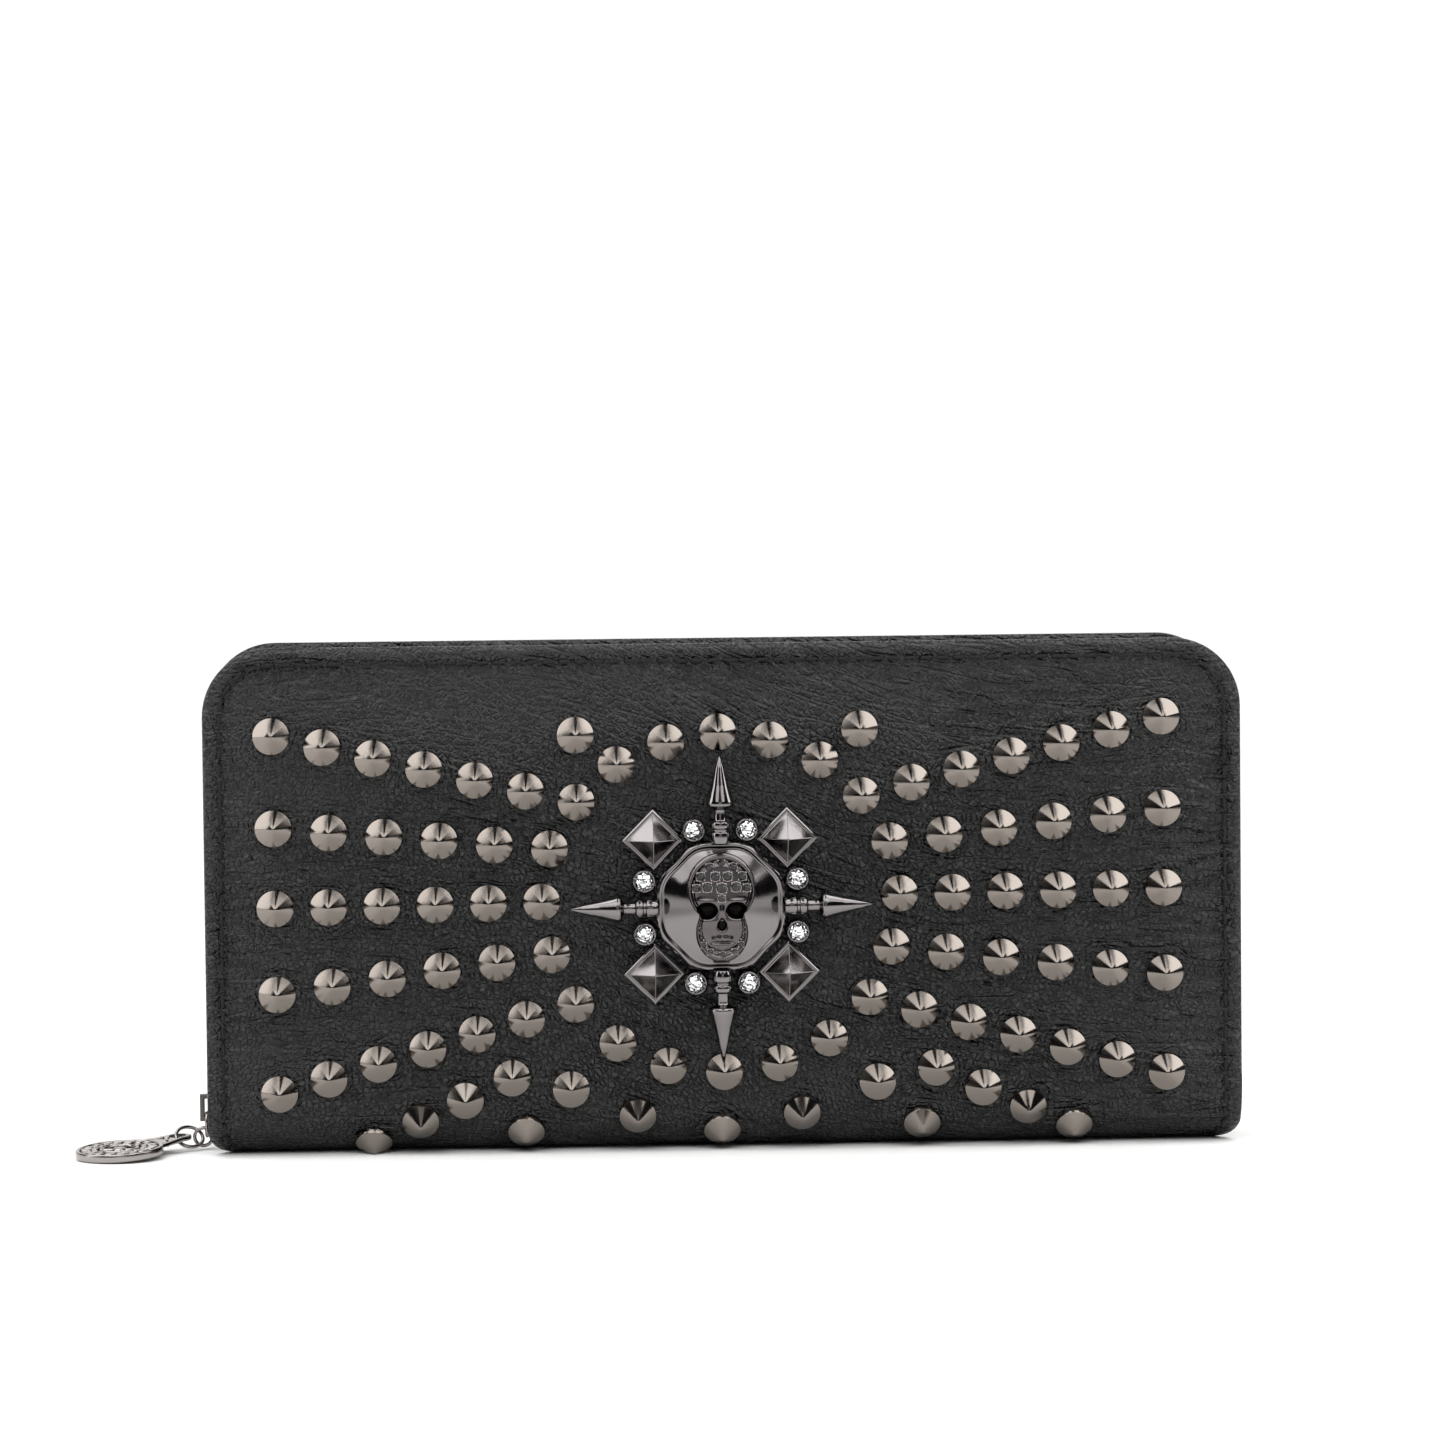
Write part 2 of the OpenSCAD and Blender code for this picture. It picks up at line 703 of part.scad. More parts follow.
module skull_shape(grow) {
    translate([0, 3.9]) circle(skull_w / 2 + grow);
    translate([0, 0]) circle(6.0 + grow);
    translate([-4.6 - grow, -8.2]) square([9.2 + 2 * grow, 9]);
    translate([0, -5.7]) circle(4.75 + grow);
}

module skull() color([0.28, 0.27, 0.28])
    at_medallion() translate([0, 0, skull_seat + 0.05]) difference() {
        union() {
            linear_extrude(1.8) skull_shape(0);
            translate([0, 0, 1.7]) linear_extrude(0.5) difference() {
                skull_shape(0);
                skull_shape(-0.7);
            }
            for (i = [-2 : 2]) translate([i * 1.1 - 0.4, -7.6, 1.5]) cube([0.8, 1.7, 0.8]);
        }
        for (s = [-1, 1]) translate([s * 2.85, -0.55, 0.7]) {
            cylinder(r = 1.5, h = 3);
            translate([s * 0.6, 0.1, 0]) cylinder(r = 1.4, h = 3);
        }
        translate([0, -3.4, 0.9]) cylinder(r = 0.85, h = 3);
    }

// Small stones set over the forehead, and a fringe around the jaw
stone_d = 1.7;

module skull_crystals() color([0.20, 0.20, 0.22])
    at_medallion() translate([0, 0, skull_seat + 1.9]) {
        for (row = [0 : 2], i = [0 : 3 - row])
            translate([(i - (3 - row) / 2) * 2.15, 2.75 + 2.0 * row, 0])
                cylinder(d1 = stone_d, d2 = 0.6 * stone_d, h = 0.6);
        for (s = [-1, 1], i = [0 : 3])
            translate([s * 3.35, -3.0 - 1.35 * i, 0])
                cylinder(d1 = 1.1, d2 = 0.6, h = 0.45);
    }

// ---------- card pockets ----------

cloth = [0.12, 0.12, 0.13];

module back_card_panel() color(cloth) card_panel(1);
module back_card_pocket_1() color(cloth) card_pocket(1, 1);
module back_card_pocket_2() color(cloth) card_pocket(1, 2);
module back_card_pocket_3() color(cloth) card_pocket(1, 3);
module back_card_pocket_4() color(cloth) card_pocket(1, 4);
module front_card_panel() color(cloth) card_panel(-1);
module front_card_pocket_1() color(cloth) card_pocket(-1, 1);
module front_card_pocket_2() color(cloth) card_pocket(-1, 2);
module front_card_pocket_3() color(cloth) card_pocket(-1, 3);
module front_card_pocket_4() color(cloth) card_pocket(-1, 4);

// ---------- coin pocket ----------

// Two walls, a round bottom and closed ends, as one folded pouch
module pouch_shape(inset) {
    r = coin_r - inset;
    translate([0, coin_z]) circle(r);
    translate([-r, coin_z]) square([2 * r, coin_top - coin_z + inset]);
}

module coin_pocket() color(cloth)
    difference() {
        translate([-coin_w / 2, 0, 0]) rotate([90, 0, 90])
            linear_extrude(coin_w) pouch_shape(0);
        translate([-coin_w / 2 + coin_wall, 0, 0]) rotate([90, 0, 90])
            linear_extrude(coin_w - 2 * coin_wall) pouch_shape(coin_wall);
    }

// The pocket's zip lies flat in its mouth
coin_zip_z = coin_top - 1.2;
coin_tape_gap = 0.9;
coin_run = coin_w - 2 * coin_wall - 4;

module coin_zip_tapes() color([0.09, 0.09, 0.095])
    for (s = [-1, 1])
        block([-coin_run / 2, s > 0 ? coin_tape_gap : -coin_depth / 2 + gap / 2, coin_zip_z - 0.25],
              [coin_run / 2, s > 0 ? coin_depth / 2 - gap / 2 : -coin_tape_gap, coin_zip_z + 0.25]);

coin_tooth_pitch = 2;
coin_slider_l = 7;
coin_slider_x = -coin_run / 2 + 2.5;    // near end of the slider when the pocket is shut

module coin_zip_teeth() color([0.25, 0.24, 0.24]) {
    start = coin_slider_x + coin_slider_l + 0.6;
    count = floor((coin_run / 2 - 3 - start) / coin_tooth_pitch);
    for (i = [0 : count - 1], s = [-1, 1])
        translate([start + (i + (s > 0 ? 0.5 : 0)) * coin_tooth_pitch, 0, coin_zip_z])
            block([-0.4, s > 0 ? -0.4 : -coin_tape_gap + 0.05, -0.6],
                  [0.4, s > 0 ? coin_tape_gap - 0.05 : 0.4, 0.6]);
}

module coin_zip_stops() color([0.30, 0.29, 0.29])
    for (end = [-1, 1])
        translate([end * (coin_run / 2 - 1), 0, coin_zip_z])
            block([-0.8, -coin_tape_gap + 0.05, -0.6], [0.8, coin_tape_gap - 0.05, 0.6]);

// Slider of the coin pocket: plates above and below the teeth, joined by a post, with a lug
coin_plate_gap = 0.8;
coin_plate_t = 0.7;
coin_slider_w = 1.9;
lug_x = coin_slider_x + 2.2;
lug_z = coin_zip_z + coin_plate_gap + coin_plate_t + 0.9;

module coin_slider() color([0.32, 0.31, 0.31])
    union() {
        for (s = [-1, 1])
            block([coin_slider_x, -coin_slider_w,
                   coin_zip_z + (s > 0 ? coin_plate_gap : -coin_plate_gap - coin_plate_t)],
                  [coin_slider_x + coin_slider_l, coin_slider_w,
                   coin_zip_z + (s > 0 ? coin_plate_gap + coin_plate_t : -coin_plate_gap)]);
        translate([coin_slider_x + 1.6, 0, coin_zip_z - coin_plate_gap - 0.2])
            cylinder(r = 0.7, h = 2 * coin_plate_gap + 0.4);
        difference() {
            block([lug_x - 1.1, -0.5, coin_zip_z + coin_plate_gap + coin_plate_t - 0.1],
                  [lug_x + 1.1, 0.5, lug_z + 1.1]);
            translate([lug_x, far / 2, lug_z]) rotate([90, 0, 0]) cylinder(r = 0.55, h = far);
        }
    }

// Flat pull that hinges on the lug: two ears with a pin between them
module coin_pull() color([0.36, 0.35, 0.35])
    union() {
        translate([lug_x, 1.7, lug_z]) rotate([90, 0, 0]) cylinder(r = 0.45, h = 3.4);
        for (s = [-1, 1])
            block([lug_x, s > 0 ? 0.8 : -1.7, lug_z - 0.45], [lug_x + 3, s > 0 ? 1.7 : -0.8, lug_z + 0.45]);
        difference() {
            block([lug_x + 2.2, -2, lug_z - 0.45], [lug_x + 11.5, 2, lug_z + 0.45]);
            translate([lug_x + 9, 0, lug_z - 1]) cylinder(r = 0.9, h = 2);
        }
    }

// ---------- gussets ----------

// A pleated side gusset between a cover's card panel and the coin pocket, folded shut
gusset_t = 0.4;
gusset_out = body_w / 2 - panel_inset - 0.2;
gusset_in = gusset_out - 8;
gusset_low = board_z + hem;
gusset_high = coin_top - 2;

module gusset(side, end) {
    y_cover = half_t - inner_in - gap - 0.2;
    y_coin = coin_r + gap + 0.2;
    pleats = 4;
    step = (y_cover - y_coin - gusset_t) / pleats;
    for (i = [0 : pleats - 1]) {
        x0 = i % 2 == 0 ? gusset_out : gusset_in;
        x1 = i % 2 == 0 ? gusset_in : gusset_out;
        ya = y_coin + i * step;
        linear_extrude_between(gusset_low, gusset_high)
            polygon([
                [end * x0, side * ya], [end * x1, side * (ya + step)],
                [end * x1, side * (ya + step + gusset_t)], [end * x0, side * (ya + gusset_t)]]);
    }
}

module linear_extrude_between(low, high) {
    translate([0, 0, low]) linear_extrude(high - low) children();
}

module gusset_front_left() color([0.08, 0.08, 0.085]) union() gusset(-1, -1);
module gusset_front_right() color([0.08, 0.08, 0.085]) union() gusset(-1, 1);
module gusset_back_left() color([0.08, 0.08, 0.085]) union() gusset(1, -1);
module gusset_back_right() color([0.08, 0.08, 0.085]) union() gusset(1, 1);

back_leather();
fold_leather();
front_leather();
spine_board();
back_board();
front_board();
spine_lining();
back_lining();
fold_lining();
front_lining();
back_card_panel();
back_card_pocket_1();
back_card_pocket_2();
back_card_pocket_3();
back_card_pocket_4();
front_card_panel();
front_card_pocket_1();
front_card_pocket_2();
front_card_pocket_3();
front_card_pocket_4();
zip_tape_back();
zip_tape_front();
zip_teeth_back();
zip_teeth_front();
zip_end_tapes();
zip_end_stops();
slider_body();
slider_bridge();
pull_link_1();
pull_link_2();
pull_ring();
pull_disc();
studs_upper_rows();
studs_middle_rows();
studs_lower_rows();
studs_top_scallop();
studs_lower_arc();
studs_fold();
medallion_plate();
medallion_posts();
medallion_spikes();
medallion_pyramids();
crystal_cups();
crystals();
skull();
skull_crystals();
coin_pocket();
coin_zip_tapes();
coin_zip_teeth();
coin_zip_stops();
coin_slider();
coin_pull();
gusset_front_left();
gusset_front_right();
gusset_back_left();
gusset_back_right();
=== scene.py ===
# %% [markdown]
# # A studded zip-around wallet
# The wallet stands on its spine. Two padded leather covers are folded round that spine, a zip runs
# between them, and cone studs and a medallion are fixed through the front cover. The CAD model
# already says where every piece is and how it moves, so each piece here is drawn in its place and
# then told which body it moves with.

# %% Load the fixed frame
import json

import bmesh
import bpy
import numpy as np
from mathutils import Matrix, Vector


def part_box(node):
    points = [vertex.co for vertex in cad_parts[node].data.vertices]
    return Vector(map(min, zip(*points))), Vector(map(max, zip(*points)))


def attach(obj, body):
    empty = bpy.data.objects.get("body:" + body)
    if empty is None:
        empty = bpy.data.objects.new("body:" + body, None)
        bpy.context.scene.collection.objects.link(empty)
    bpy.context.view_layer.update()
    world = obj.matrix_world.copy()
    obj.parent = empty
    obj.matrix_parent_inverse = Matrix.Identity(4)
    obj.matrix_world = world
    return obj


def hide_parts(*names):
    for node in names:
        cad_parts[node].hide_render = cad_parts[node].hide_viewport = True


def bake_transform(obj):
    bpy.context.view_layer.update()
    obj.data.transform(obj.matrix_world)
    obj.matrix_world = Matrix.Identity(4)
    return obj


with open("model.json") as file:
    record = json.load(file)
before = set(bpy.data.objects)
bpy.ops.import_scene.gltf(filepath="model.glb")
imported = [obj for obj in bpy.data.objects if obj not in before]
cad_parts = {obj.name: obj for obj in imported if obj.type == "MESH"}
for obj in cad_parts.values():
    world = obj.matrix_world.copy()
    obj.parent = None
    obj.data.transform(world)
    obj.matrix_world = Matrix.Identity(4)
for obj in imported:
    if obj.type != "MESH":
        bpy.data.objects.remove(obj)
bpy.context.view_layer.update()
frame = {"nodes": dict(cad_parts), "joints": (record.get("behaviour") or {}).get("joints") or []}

MM = 0.001
nodes = frame["nodes"]

# %% [markdown]
# ## Sizes
# Most sizes are read from the frame's own boxes, so the pieces follow the CAD model. The covers
# give the width and height, the roll at the bottom of each cover is round about its hinge, and
# the leather's thickness is the difference between two neighbouring layers, less a board
# thickness that is given. The corner radii are given too.

# %% Read the sizes, in millimetres
def box_mm(name):
    """Lowest and highest corner of a CAD node, in millimetres."""
    low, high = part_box(name)
    return np.array(low) / MM, np.array(high) / MM


half_w, half_t, height = box_mm("back_leather")[1]
hinge = next(np.array(j["pos_m"]) / MM for j in frame["joints"] if j["name"] == "front_fold")
roll_r = hinge[2]
flat_y = -hinge[1]
corner_r, foot_r = 13.0, 4.0
depth_out = box_mm("spine_lining")[0][2]
board_t = 0.9
leather_t = depth_out - board_t
both_covers = ((1, "back_cover", "back"), (-1, "front_cover", "front"))
print(f"covers {2 * half_w:.1f} x {height:.1f} x {2 * half_t:.1f} mm, roll radius {roll_r:.1f}")

# %% [markdown]
# ## Helpers for shapes
# A shape is a pair: an array of points and a list of face arrays. A grid of points becomes faces
# by joining each point to its neighbours; a profile turned about an axis and a ring carried along
# a path are both grids. Shapes are joined before they go into one mesh.

# %% Grids, turned profiles and swept rings
def grid(points, wrap_u=False, wrap_v=False):
    """Faces over an array of points[u, v]: each cell joins four neighbours; a wrapped direction
    also joins its last row to its first."""
    nu, nv = points.shape[:2]
    u = np.arange(nu if wrap_u else nu - 1)
    v = np.arange(nv if wrap_v else nv - 1)
    a, b = np.meshgrid(u, v, indexing="ij")
    c, d = (a + 1) % nu, (b + 1) % nv
    quads = np.stack([a * nv + b, c * nv + b, c * nv + d, a * nv + d], -1).reshape(-1, 4)
    return points.reshape(-1, 3), [quads]


def spread(*parts):
    """Points from their coordinates, each stretched over the same array of points."""
    return np.stack(np.broadcast_arrays(*parts), -1)


def unit(v):
    """The same directions with a length of one."""
    return v / np.linalg.norm(v, axis=-1, keepdims=True)


def rim_rise(d, reach):
    """Nought at an edge and one from a distance of reach inwards, along a quarter ellipse."""
    return np.sqrt(1 - np.clip(1 - d / reach, 0, 1) ** 2)


def around_once(sides):
    """Equal angles once round a circle, without the last one, which is the first again."""
    return np.arange(sides) * 2 * np.pi / sides


def join(shapes):
    """All points one after another, with each shape's face numbers moved up to match."""
    points, faces, start = [], [], 0
    for p, f in shapes:
        points.append(p)
        faces += [q + start for q in f]
        start += len(p)
    return np.concatenate(points), faces


def moved(shape, at=(0, 0, 0), axes=np.eye(3)):
    """Each point p goes to at + axes . p, where the columns of axes are the new directions."""
    return shape[0] @ np.asarray(axes, float).T + np.asarray(at, float), shape[1]


def copies(shape, ats, axes):
    """One copy of the shape at each place, with its own axes: points[k] = at[k] + axes[k] . p."""
    points, faces = shape
    ats, axes = np.asarray(ats, float), np.asarray(axes, float)
    placed = np.einsum("kij,nj->kni", axes, points) + ats[:, None, :]
    steps = np.arange(len(ats))[:, None, None] * len(points)
    return placed.reshape(-1, 3), [(q[None] + steps).reshape(-1, q.shape[1]) for q in faces]


def turned(profile, sides=32):
    """A profile of (radius, height) turned about Z: x = r cos t, y = r sin t. Closed at both ends
    where its radius is nought."""
    r, z = np.asarray(profile, float).T
    t = around_once(sides)[:, None]
    return grid(spread(r * np.cos(t), r * np.sin(t), z), wrap_u=True)


def swept(path, rx, rz, sides=8, closed=False, up=(0, 0, 1)):
    """An oval ring of half-widths rx and rz carried along a path. Across is the path's direction
    crossed with up, and the ring lies in the plane of across and what is square to both."""
    path = np.asarray(path, float)
    ahead = np.roll(path, -1, 0) - np.roll(path, 1, 0) if closed else np.gradient(path, axis=0)
    ahead = unit(ahead)
    across = unit(np.cross(ahead, np.asarray(up, float)))
    over = np.cross(across, ahead)
    t = around_once(sides)
    rx, rz = np.broadcast_to(rx, len(path)), np.broadcast_to(rz, len(path))
    points = (path[:, None] + across[:, None] * (rx[:, None] * np.cos(t))[..., None]
              + over[:, None] * (rz[:, None] * np.sin(t))[..., None])
    return grid(points, wrap_u=closed, wrap_v=True)


def rounded(profile, radius, steps=3):
    """A polyline with each inner corner replaced by a short curve: the corner's quadratic curve
    between the two points that lie radius away from it."""
    profile = np.asarray(profile, float)
    out = [profile[0]]
    for before, corner, after in zip(profile[:-2], profile[1:-1], profile[2:]):
        a, b = before - corner, after - corner
        reach = min(radius, 0.45 * np.linalg.norm(a), 0.45 * np.linalg.norm(b))
        a, b = (corner + reach * v / max(np.linalg.norm(v), 1e-9) for v in (a, b))
        s = np.linspace(0, 1, steps)[:, None]
        out += list((1 - s) ** 2 * a + 2 * s * (1 - s) * corner + s ** 2 * b)
    return np.array(out + [profile[-1]])


# %% [markdown]
# ## Putting a shape into a mesh
# Points are worked out in millimetres and stored in metres. Doubled points are merged so that
# poles and seams are closed, and faces are turned outwards on closed shapes.

# %% Make a piece
def piece(name, shape, material, smooth=True, tidy=True, angle=None, flow=None, crease=None):
    """One Blender object from a shape in millimetres, at the origin. flow is a place on the cloth
    or leather for each point, which a pattern follows, and crease is how creased it is there."""
    points, faces = shape
    mesh = bpy.data.meshes.new(name)
    mesh.from_pydata((points * MM).tolist(), [], [f for q in faces for f in q.tolist()])
    if flow is not None:
        layer = mesh.attributes.new("flow", "FLOAT_VECTOR", "POINT")
        layer.data.foreach_set("vector", (flow * MM).astype(np.float32).ravel())
    if crease is not None:
        layer = mesh.attributes.new("crease", "FLOAT", "POINT")
        layer.data.foreach_set("value", crease.astype(np.float32))
    if tidy:
        bm = bmesh.new()
        bm.from_mesh(mesh)
        bmesh.ops.remove_doubles(bm, verts=bm.verts, dist=2e-7)
        bmesh.ops.recalc_face_normals(bm, faces=bm.faces)
        bm.to_mesh(mesh)
        bm.free()
    mesh.shade_smooth() if smooth else mesh.shade_flat()
    if smooth and angle:
        mesh.set_sharp_from_angle(angle=np.radians(angle))
    mesh.materials.append(material)
    made = bpy.data.objects.new(name, mesh)
    bpy.context.scene.collection.objects.link(made)
    return made


def belongs(made, body, slot, *replaced):
    """The piece rides on a body and stands for some CAD nodes, which it hides.
    slot is not used.
    """
    if body:
        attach(made, body)
    if replaced:
        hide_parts(*replaced)
    print(f"{made.name}: {len(made.data.polygons)} faces")
    return made


# %% [markdown]
# ## Helpers for materials
# Colours are picked as sRGB hex values and turned to linear light by one function. Another adds a
# node with its settings and links, so a material reads as a short list of nodes.

# %% Colours and nodes
def linear(hex_value):
    """sRGB to linear: c / 12.92 below 0.04045, else ((c + 0.055) / 1.055) to the power 2.4."""
    c = np.array([int(hex_value[i:i + 2], 16) for i in (1, 3, 5)]) / 255
    return (*np.where(c <= 0.04045, c / 12.92, ((c + 0.055) / 1.055) ** 2.4), 1.0)


def node(tree, kind, inputs=None, **settings):
    """Add one node: settings are its properties, inputs are its sockets' values or links."""
    made = tree.nodes.new(kind)
    for key, value in settings.items():
        setattr(made, key, value)
    for key, value in (inputs or {}).items():
        if isinstance(value, bpy.types.NodeSocket):
            tree.links.new(value, made.inputs[key])
        else:
            made.inputs[key].default_value = value
    return made


def material(name, **sockets):
    """A new material with one Principled shader whose sockets are set directly."""
    made = bpy.data.materials.new(name)
    made.use_nodes = True
    shader = made.node_tree.nodes["Principled BSDF"]
    for key, value in sockets.items():
        shader.inputs[key.replace("_", " ")].default_value = value
    return made, made.node_tree, shader


# %% [markdown]
# ## Camera
# The camera looks slightly down and a touch from the left, from a little over a metre away with
# a long lens. It comes first because everything else is judged through it.

# %% Camera
camera_at = np.array([-0.0485, -1.1002, 0.1395])
camera_aim = np.array([-0.00014, -0.014, 0.08102])
ahead = (camera_aim - camera_at) / np.linalg.norm(camera_aim - camera_at)
right = np.cross(ahead, [0, 0, 1])
right /= np.linalg.norm(right)
up = np.cross(right, ahead)
roll = np.radians(-0.582)
right, up = right * np.cos(roll) + up * np.sin(roll), up * np.cos(roll) - right * np.sin(roll)
camera = bpy.data.objects.new("camera", bpy.data.cameras.new("camera"))
bpy.context.scene.collection.objects.link(camera)
pose = np.eye(4)
pose[:3, 0], pose[:3, 1], pose[:3, 2], pose[:3, 3] = right, up, -ahead, camera_at
camera.matrix_world = Matrix(pose.tolist())
camera.data.lens = 143.99
camera.data.sensor_width = 36
camera.data.clip_start, camera.data.clip_end = 0.05, 20
bpy.context.scene.camera = camera
print("camera distance", round(float(np.linalg.norm(camera_aim - camera_at)), 3), "m")

# %% [markdown]
# ## Leather
# The covers are a black coated leather, embossed with a pebble grain of about a millimetre and
# creased where it was folded and turned over the board. The coating is semi-matt: broad soft
# highlights on the tops of the pebbles, near black in the valleys, where painted shade also
# darkens the colour. The grain and the fine creases are bump, because they are finer than the
# mesh, and the larger creases are in the mesh too.

# %% Black pebbled leather
def pebbled_leather(name, colour, shine, grain_mm=1.0 / 0.9):
    """Grain: distance to the edge of warped cells grain_mm wide. Creases: thin lines along the flow
    where stretched noise crosses its middle value. Both lower the surface, and the bottoms get
    painted shade: their colour is darker than the tops."""
    made, tree, shader = material(name, Roughness=shine, Specular_IOR_Level=0.5)
    flow = node(tree, "ShaderNodeAttribute", attribute_name="flow").outputs["Vector"]
    warp = node(tree, "ShaderNodeTexNoise", {"Vector": flow, "Scale": 700.0, "Detail": 2.0})
    warped = node(tree, "ShaderNodeMix", {0: 0.0009, 4: flow, 5: warp.outputs["Color"]},
                  data_type="VECTOR")
    cells = node(tree, "ShaderNodeTexVoronoi", {"Vector": warped.outputs[1],
                 "Scale": 1 / (grain_mm * MM)},
                 feature="DISTANCE_TO_EDGE")
    grain = node(tree, "ShaderNodeMapRange", {"Value": cells.outputs["Distance"], "From Max": 0.22},
                 interpolation_type="SMOOTHSTEP")
    fine = node(tree, "ShaderNodeTexNoise", {"Vector": flow, "Scale": 3600.0, "Detail": 2.0})
    stretch = node(tree, "ShaderNodeMapping", {"Vector": flow, "Scale": (62.0, 1.0, 330.0)})
    folds = node(tree, "ShaderNodeTexNoise", {"Vector": stretch.outputs[0], "Scale": 1.0,
                 "Detail": 2.0, "Roughness": 0.45, "Distortion": 0.3})
    off = node(tree, "ShaderNodeMath", {0: folds.outputs["Fac"], 1: 0.5}, operation="SUBTRACT")
    line = node(tree, "ShaderNodeMath", {0: off.outputs[0]}, operation="ABSOLUTE")
    thin = node(tree, "ShaderNodeMapRange", {"Value": line.outputs[0], "From Min": 0.0,
                "From Max": 0.06}, interpolation_type="SMOOTHSTEP")
    where = node(tree, "ShaderNodeAttribute", attribute_name="crease").outputs["Fac"]
    often = node(tree, "ShaderNodeMath", {0: where, 1: 0.25}, operation="ADD", use_clamp=True)
    shallow = node(tree, "ShaderNodeMix", {"Factor": often.outputs[0], "A": 1.0,
                   "B": thin.outputs[0]})
    bump = node(tree, "ShaderNodeBump", {"Height": fine.outputs["Fac"], "Strength": 0.5,
                "Distance": 0.00012})
    bump = node(tree, "ShaderNodeBump", {"Height": grain.outputs[0], "Strength": 0.9,
                "Distance": 0.00042, "Normal": bump.outputs[0]})
    bump = node(tree, "ShaderNodeBump", {"Height": shallow.outputs[0], "Strength": 0.9,
                "Distance": 0.0007, "Normal": bump.outputs[0]})
    tree.links.new(bump.outputs[0], shader.inputs["Normal"])
    # Painted shade: in the grain valleys and the crease lines the colour falls to 0.45 of the
    # leather's.
    painted_shade_mask = node(tree, "ShaderNodeMath", {0: grain.outputs[0], 1: shallow.outputs[0]},
                operation="MULTIPLY")
    dark = tuple(0.45 * c for c in linear(colour)[:3]) + (1.0,)
    shaded_colour = node(tree, "ShaderNodeMix", {"Factor": painted_shade_mask.outputs[0]}, data_type="RGBA")
    shaded_colour.inputs[6].default_value, shaded_colour.inputs[7].default_value = dark, linear(colour)
    tree.links.new(shaded_colour.outputs[2], shader.inputs["Base Color"])
    cloud = node(tree, "ShaderNodeTexNoise", {"Vector": flow, "Scale": 45.0, "Detail": 3.0})
    rough = node(tree, "ShaderNodeMapRange", {"Value": cloud.outputs["Fac"], "From Min": 0.3,
                 "From Max": 0.7, "To Min": shine - 0.05, "To Max": shine + 0.09})
    tree.links.new(rough.outputs[0], shader.inputs["Roughness"])
    return made


leather = pebbled_leather("black_coated_leather", "#0c0c0d", 0.32)
print("leather: grain cells 1.1 mm, fine creases about 2 mm apart")

# %% [markdown]
# ## Metal
# Studs, spikes and pulls are a zinc casting or a pressed cap, polished and then plated in
# gunmetal: a grey-brown mirror with faint handling marks. The skull is plated darker than the
# studs. Metals keep the shader's default IOR.

# %% Gunmetal plating
def plating(name, colour, shine, mark=0.05, ripple=0.000004, grain_mm=0.6):
    """Roughness rises by mark where a soft noise is high, as handling leaves it, and a very low
    bump of the grain's size keeps the reflections from being perfectly straight."""
    made, tree, shader = material(name, Metallic=1.0, Base_Color=linear(colour))
    place = node(tree, "ShaderNodeTexCoord").outputs["Object"]
    smear = node(tree, "ShaderNodeTexNoise", {"Vector": place, "Scale": 1 / (6 * MM),
                 "Detail": 4.0})
    rough = node(tree, "ShaderNodeMapRange", {"Value": smear.outputs["Fac"], "From Min": 0.35,
                 "From Max": 0.7, "To Min": shine, "To Max": shine + mark})
    tree.links.new(rough.outputs[0], shader.inputs["Roughness"])
    peel = node(tree, "ShaderNodeTexNoise", {"Vector": place, "Scale": 1 / (grain_mm * MM),
                "Detail": 2.0})
    bump = node(tree, "ShaderNodeBump", {"Height": peel.outputs["Fac"], "Strength": 1.0,
                "Distance": ripple})
    tree.links.new(bump.outputs[0], shader.inputs["Normal"])
    return made


stud_metal = plating("warm_gunmetal_plating", "#7d7670", 0.12)
medallion_metal = plating("gunmetal_plating", "#7a7676", 0.09)
skull_metal = plating("dark_gunmetal_plating", "#5e595a", 0.15, ripple=0.000008)
pull_metal = plating("worn_gunmetal_plating", "#989290", 0.15, ripple=0.00001)
teeth_metal = plating("zip_teeth_plating", "#5f5b59", 0.28)
dark_cast = plating("blackened_casting", "#1a1817", 0.45, ripple=0.00002)
print("six platings")

# %% [markdown]
# ## Cloth
# The zip tape is a herringbone polyester tape, the lining a twill, and the pockets a finer coated
# cloth. A weave is two sets of ribs that cross: the product of two waves whose length is the
# thread spacing. A cloth's threads are finer than 0.5 mm but are drawn at 0.5 mm so that they
# show, and the plies of the sewing thread are drawn at 0.4 mm.

# %% Woven cloth
def woven(name, colour, thread_mm, turn, sheen, depth=0.00005):
    """Two waves, a thread spacing apart, cross at right angles after the flow is turned by turn
    degrees; the bump is their product and the colour darkens between the threads as painted shade."""
    made, tree, shader = material(name, Roughness=0.78, Sheen_Weight=sheen, Sheen_Roughness=0.4)
    flow = node(tree, "ShaderNodeAttribute", attribute_name="flow").outputs["Vector"]
    spun = node(tree, "ShaderNodeMapping", {"Vector": flow,
                "Rotation": (0.0, np.radians(turn), 0.0)}).outputs[0]
    ribs = [node(tree, "ShaderNodeTexWave", {"Vector": spun, "Scale": 0.314 / (thread_mm * MM),
                 "Distortion": 0.4, "Detail": 1.0}, bands_direction=d).outputs["Fac"]
            for d in ("X", "Z")]
    weave = node(tree, "ShaderNodeMath", {0: ribs[0], 1: ribs[1]}, operation="MULTIPLY")
    bump = node(tree, "ShaderNodeBump", {"Height": weave.outputs[0], "Strength": 0.9,
                "Distance": depth})
    tree.links.new(bump.outputs[0], shader.inputs["Normal"])
    shaded_colour = node(tree, "ShaderNodeMix", {"Factor": weave.outputs[0]}, data_type="RGBA")
    # Painted shade: the colour halves between the threads, where the weave is low.
    shaded_colour.inputs[6].default_value = tuple(0.5 * c for c in linear(colour)[:3]) + (1.0,)
    shaded_colour.inputs[7].default_value = linear(colour)
    tree.links.new(shaded_colour.outputs[2], shader.inputs["Base Color"])
    return made


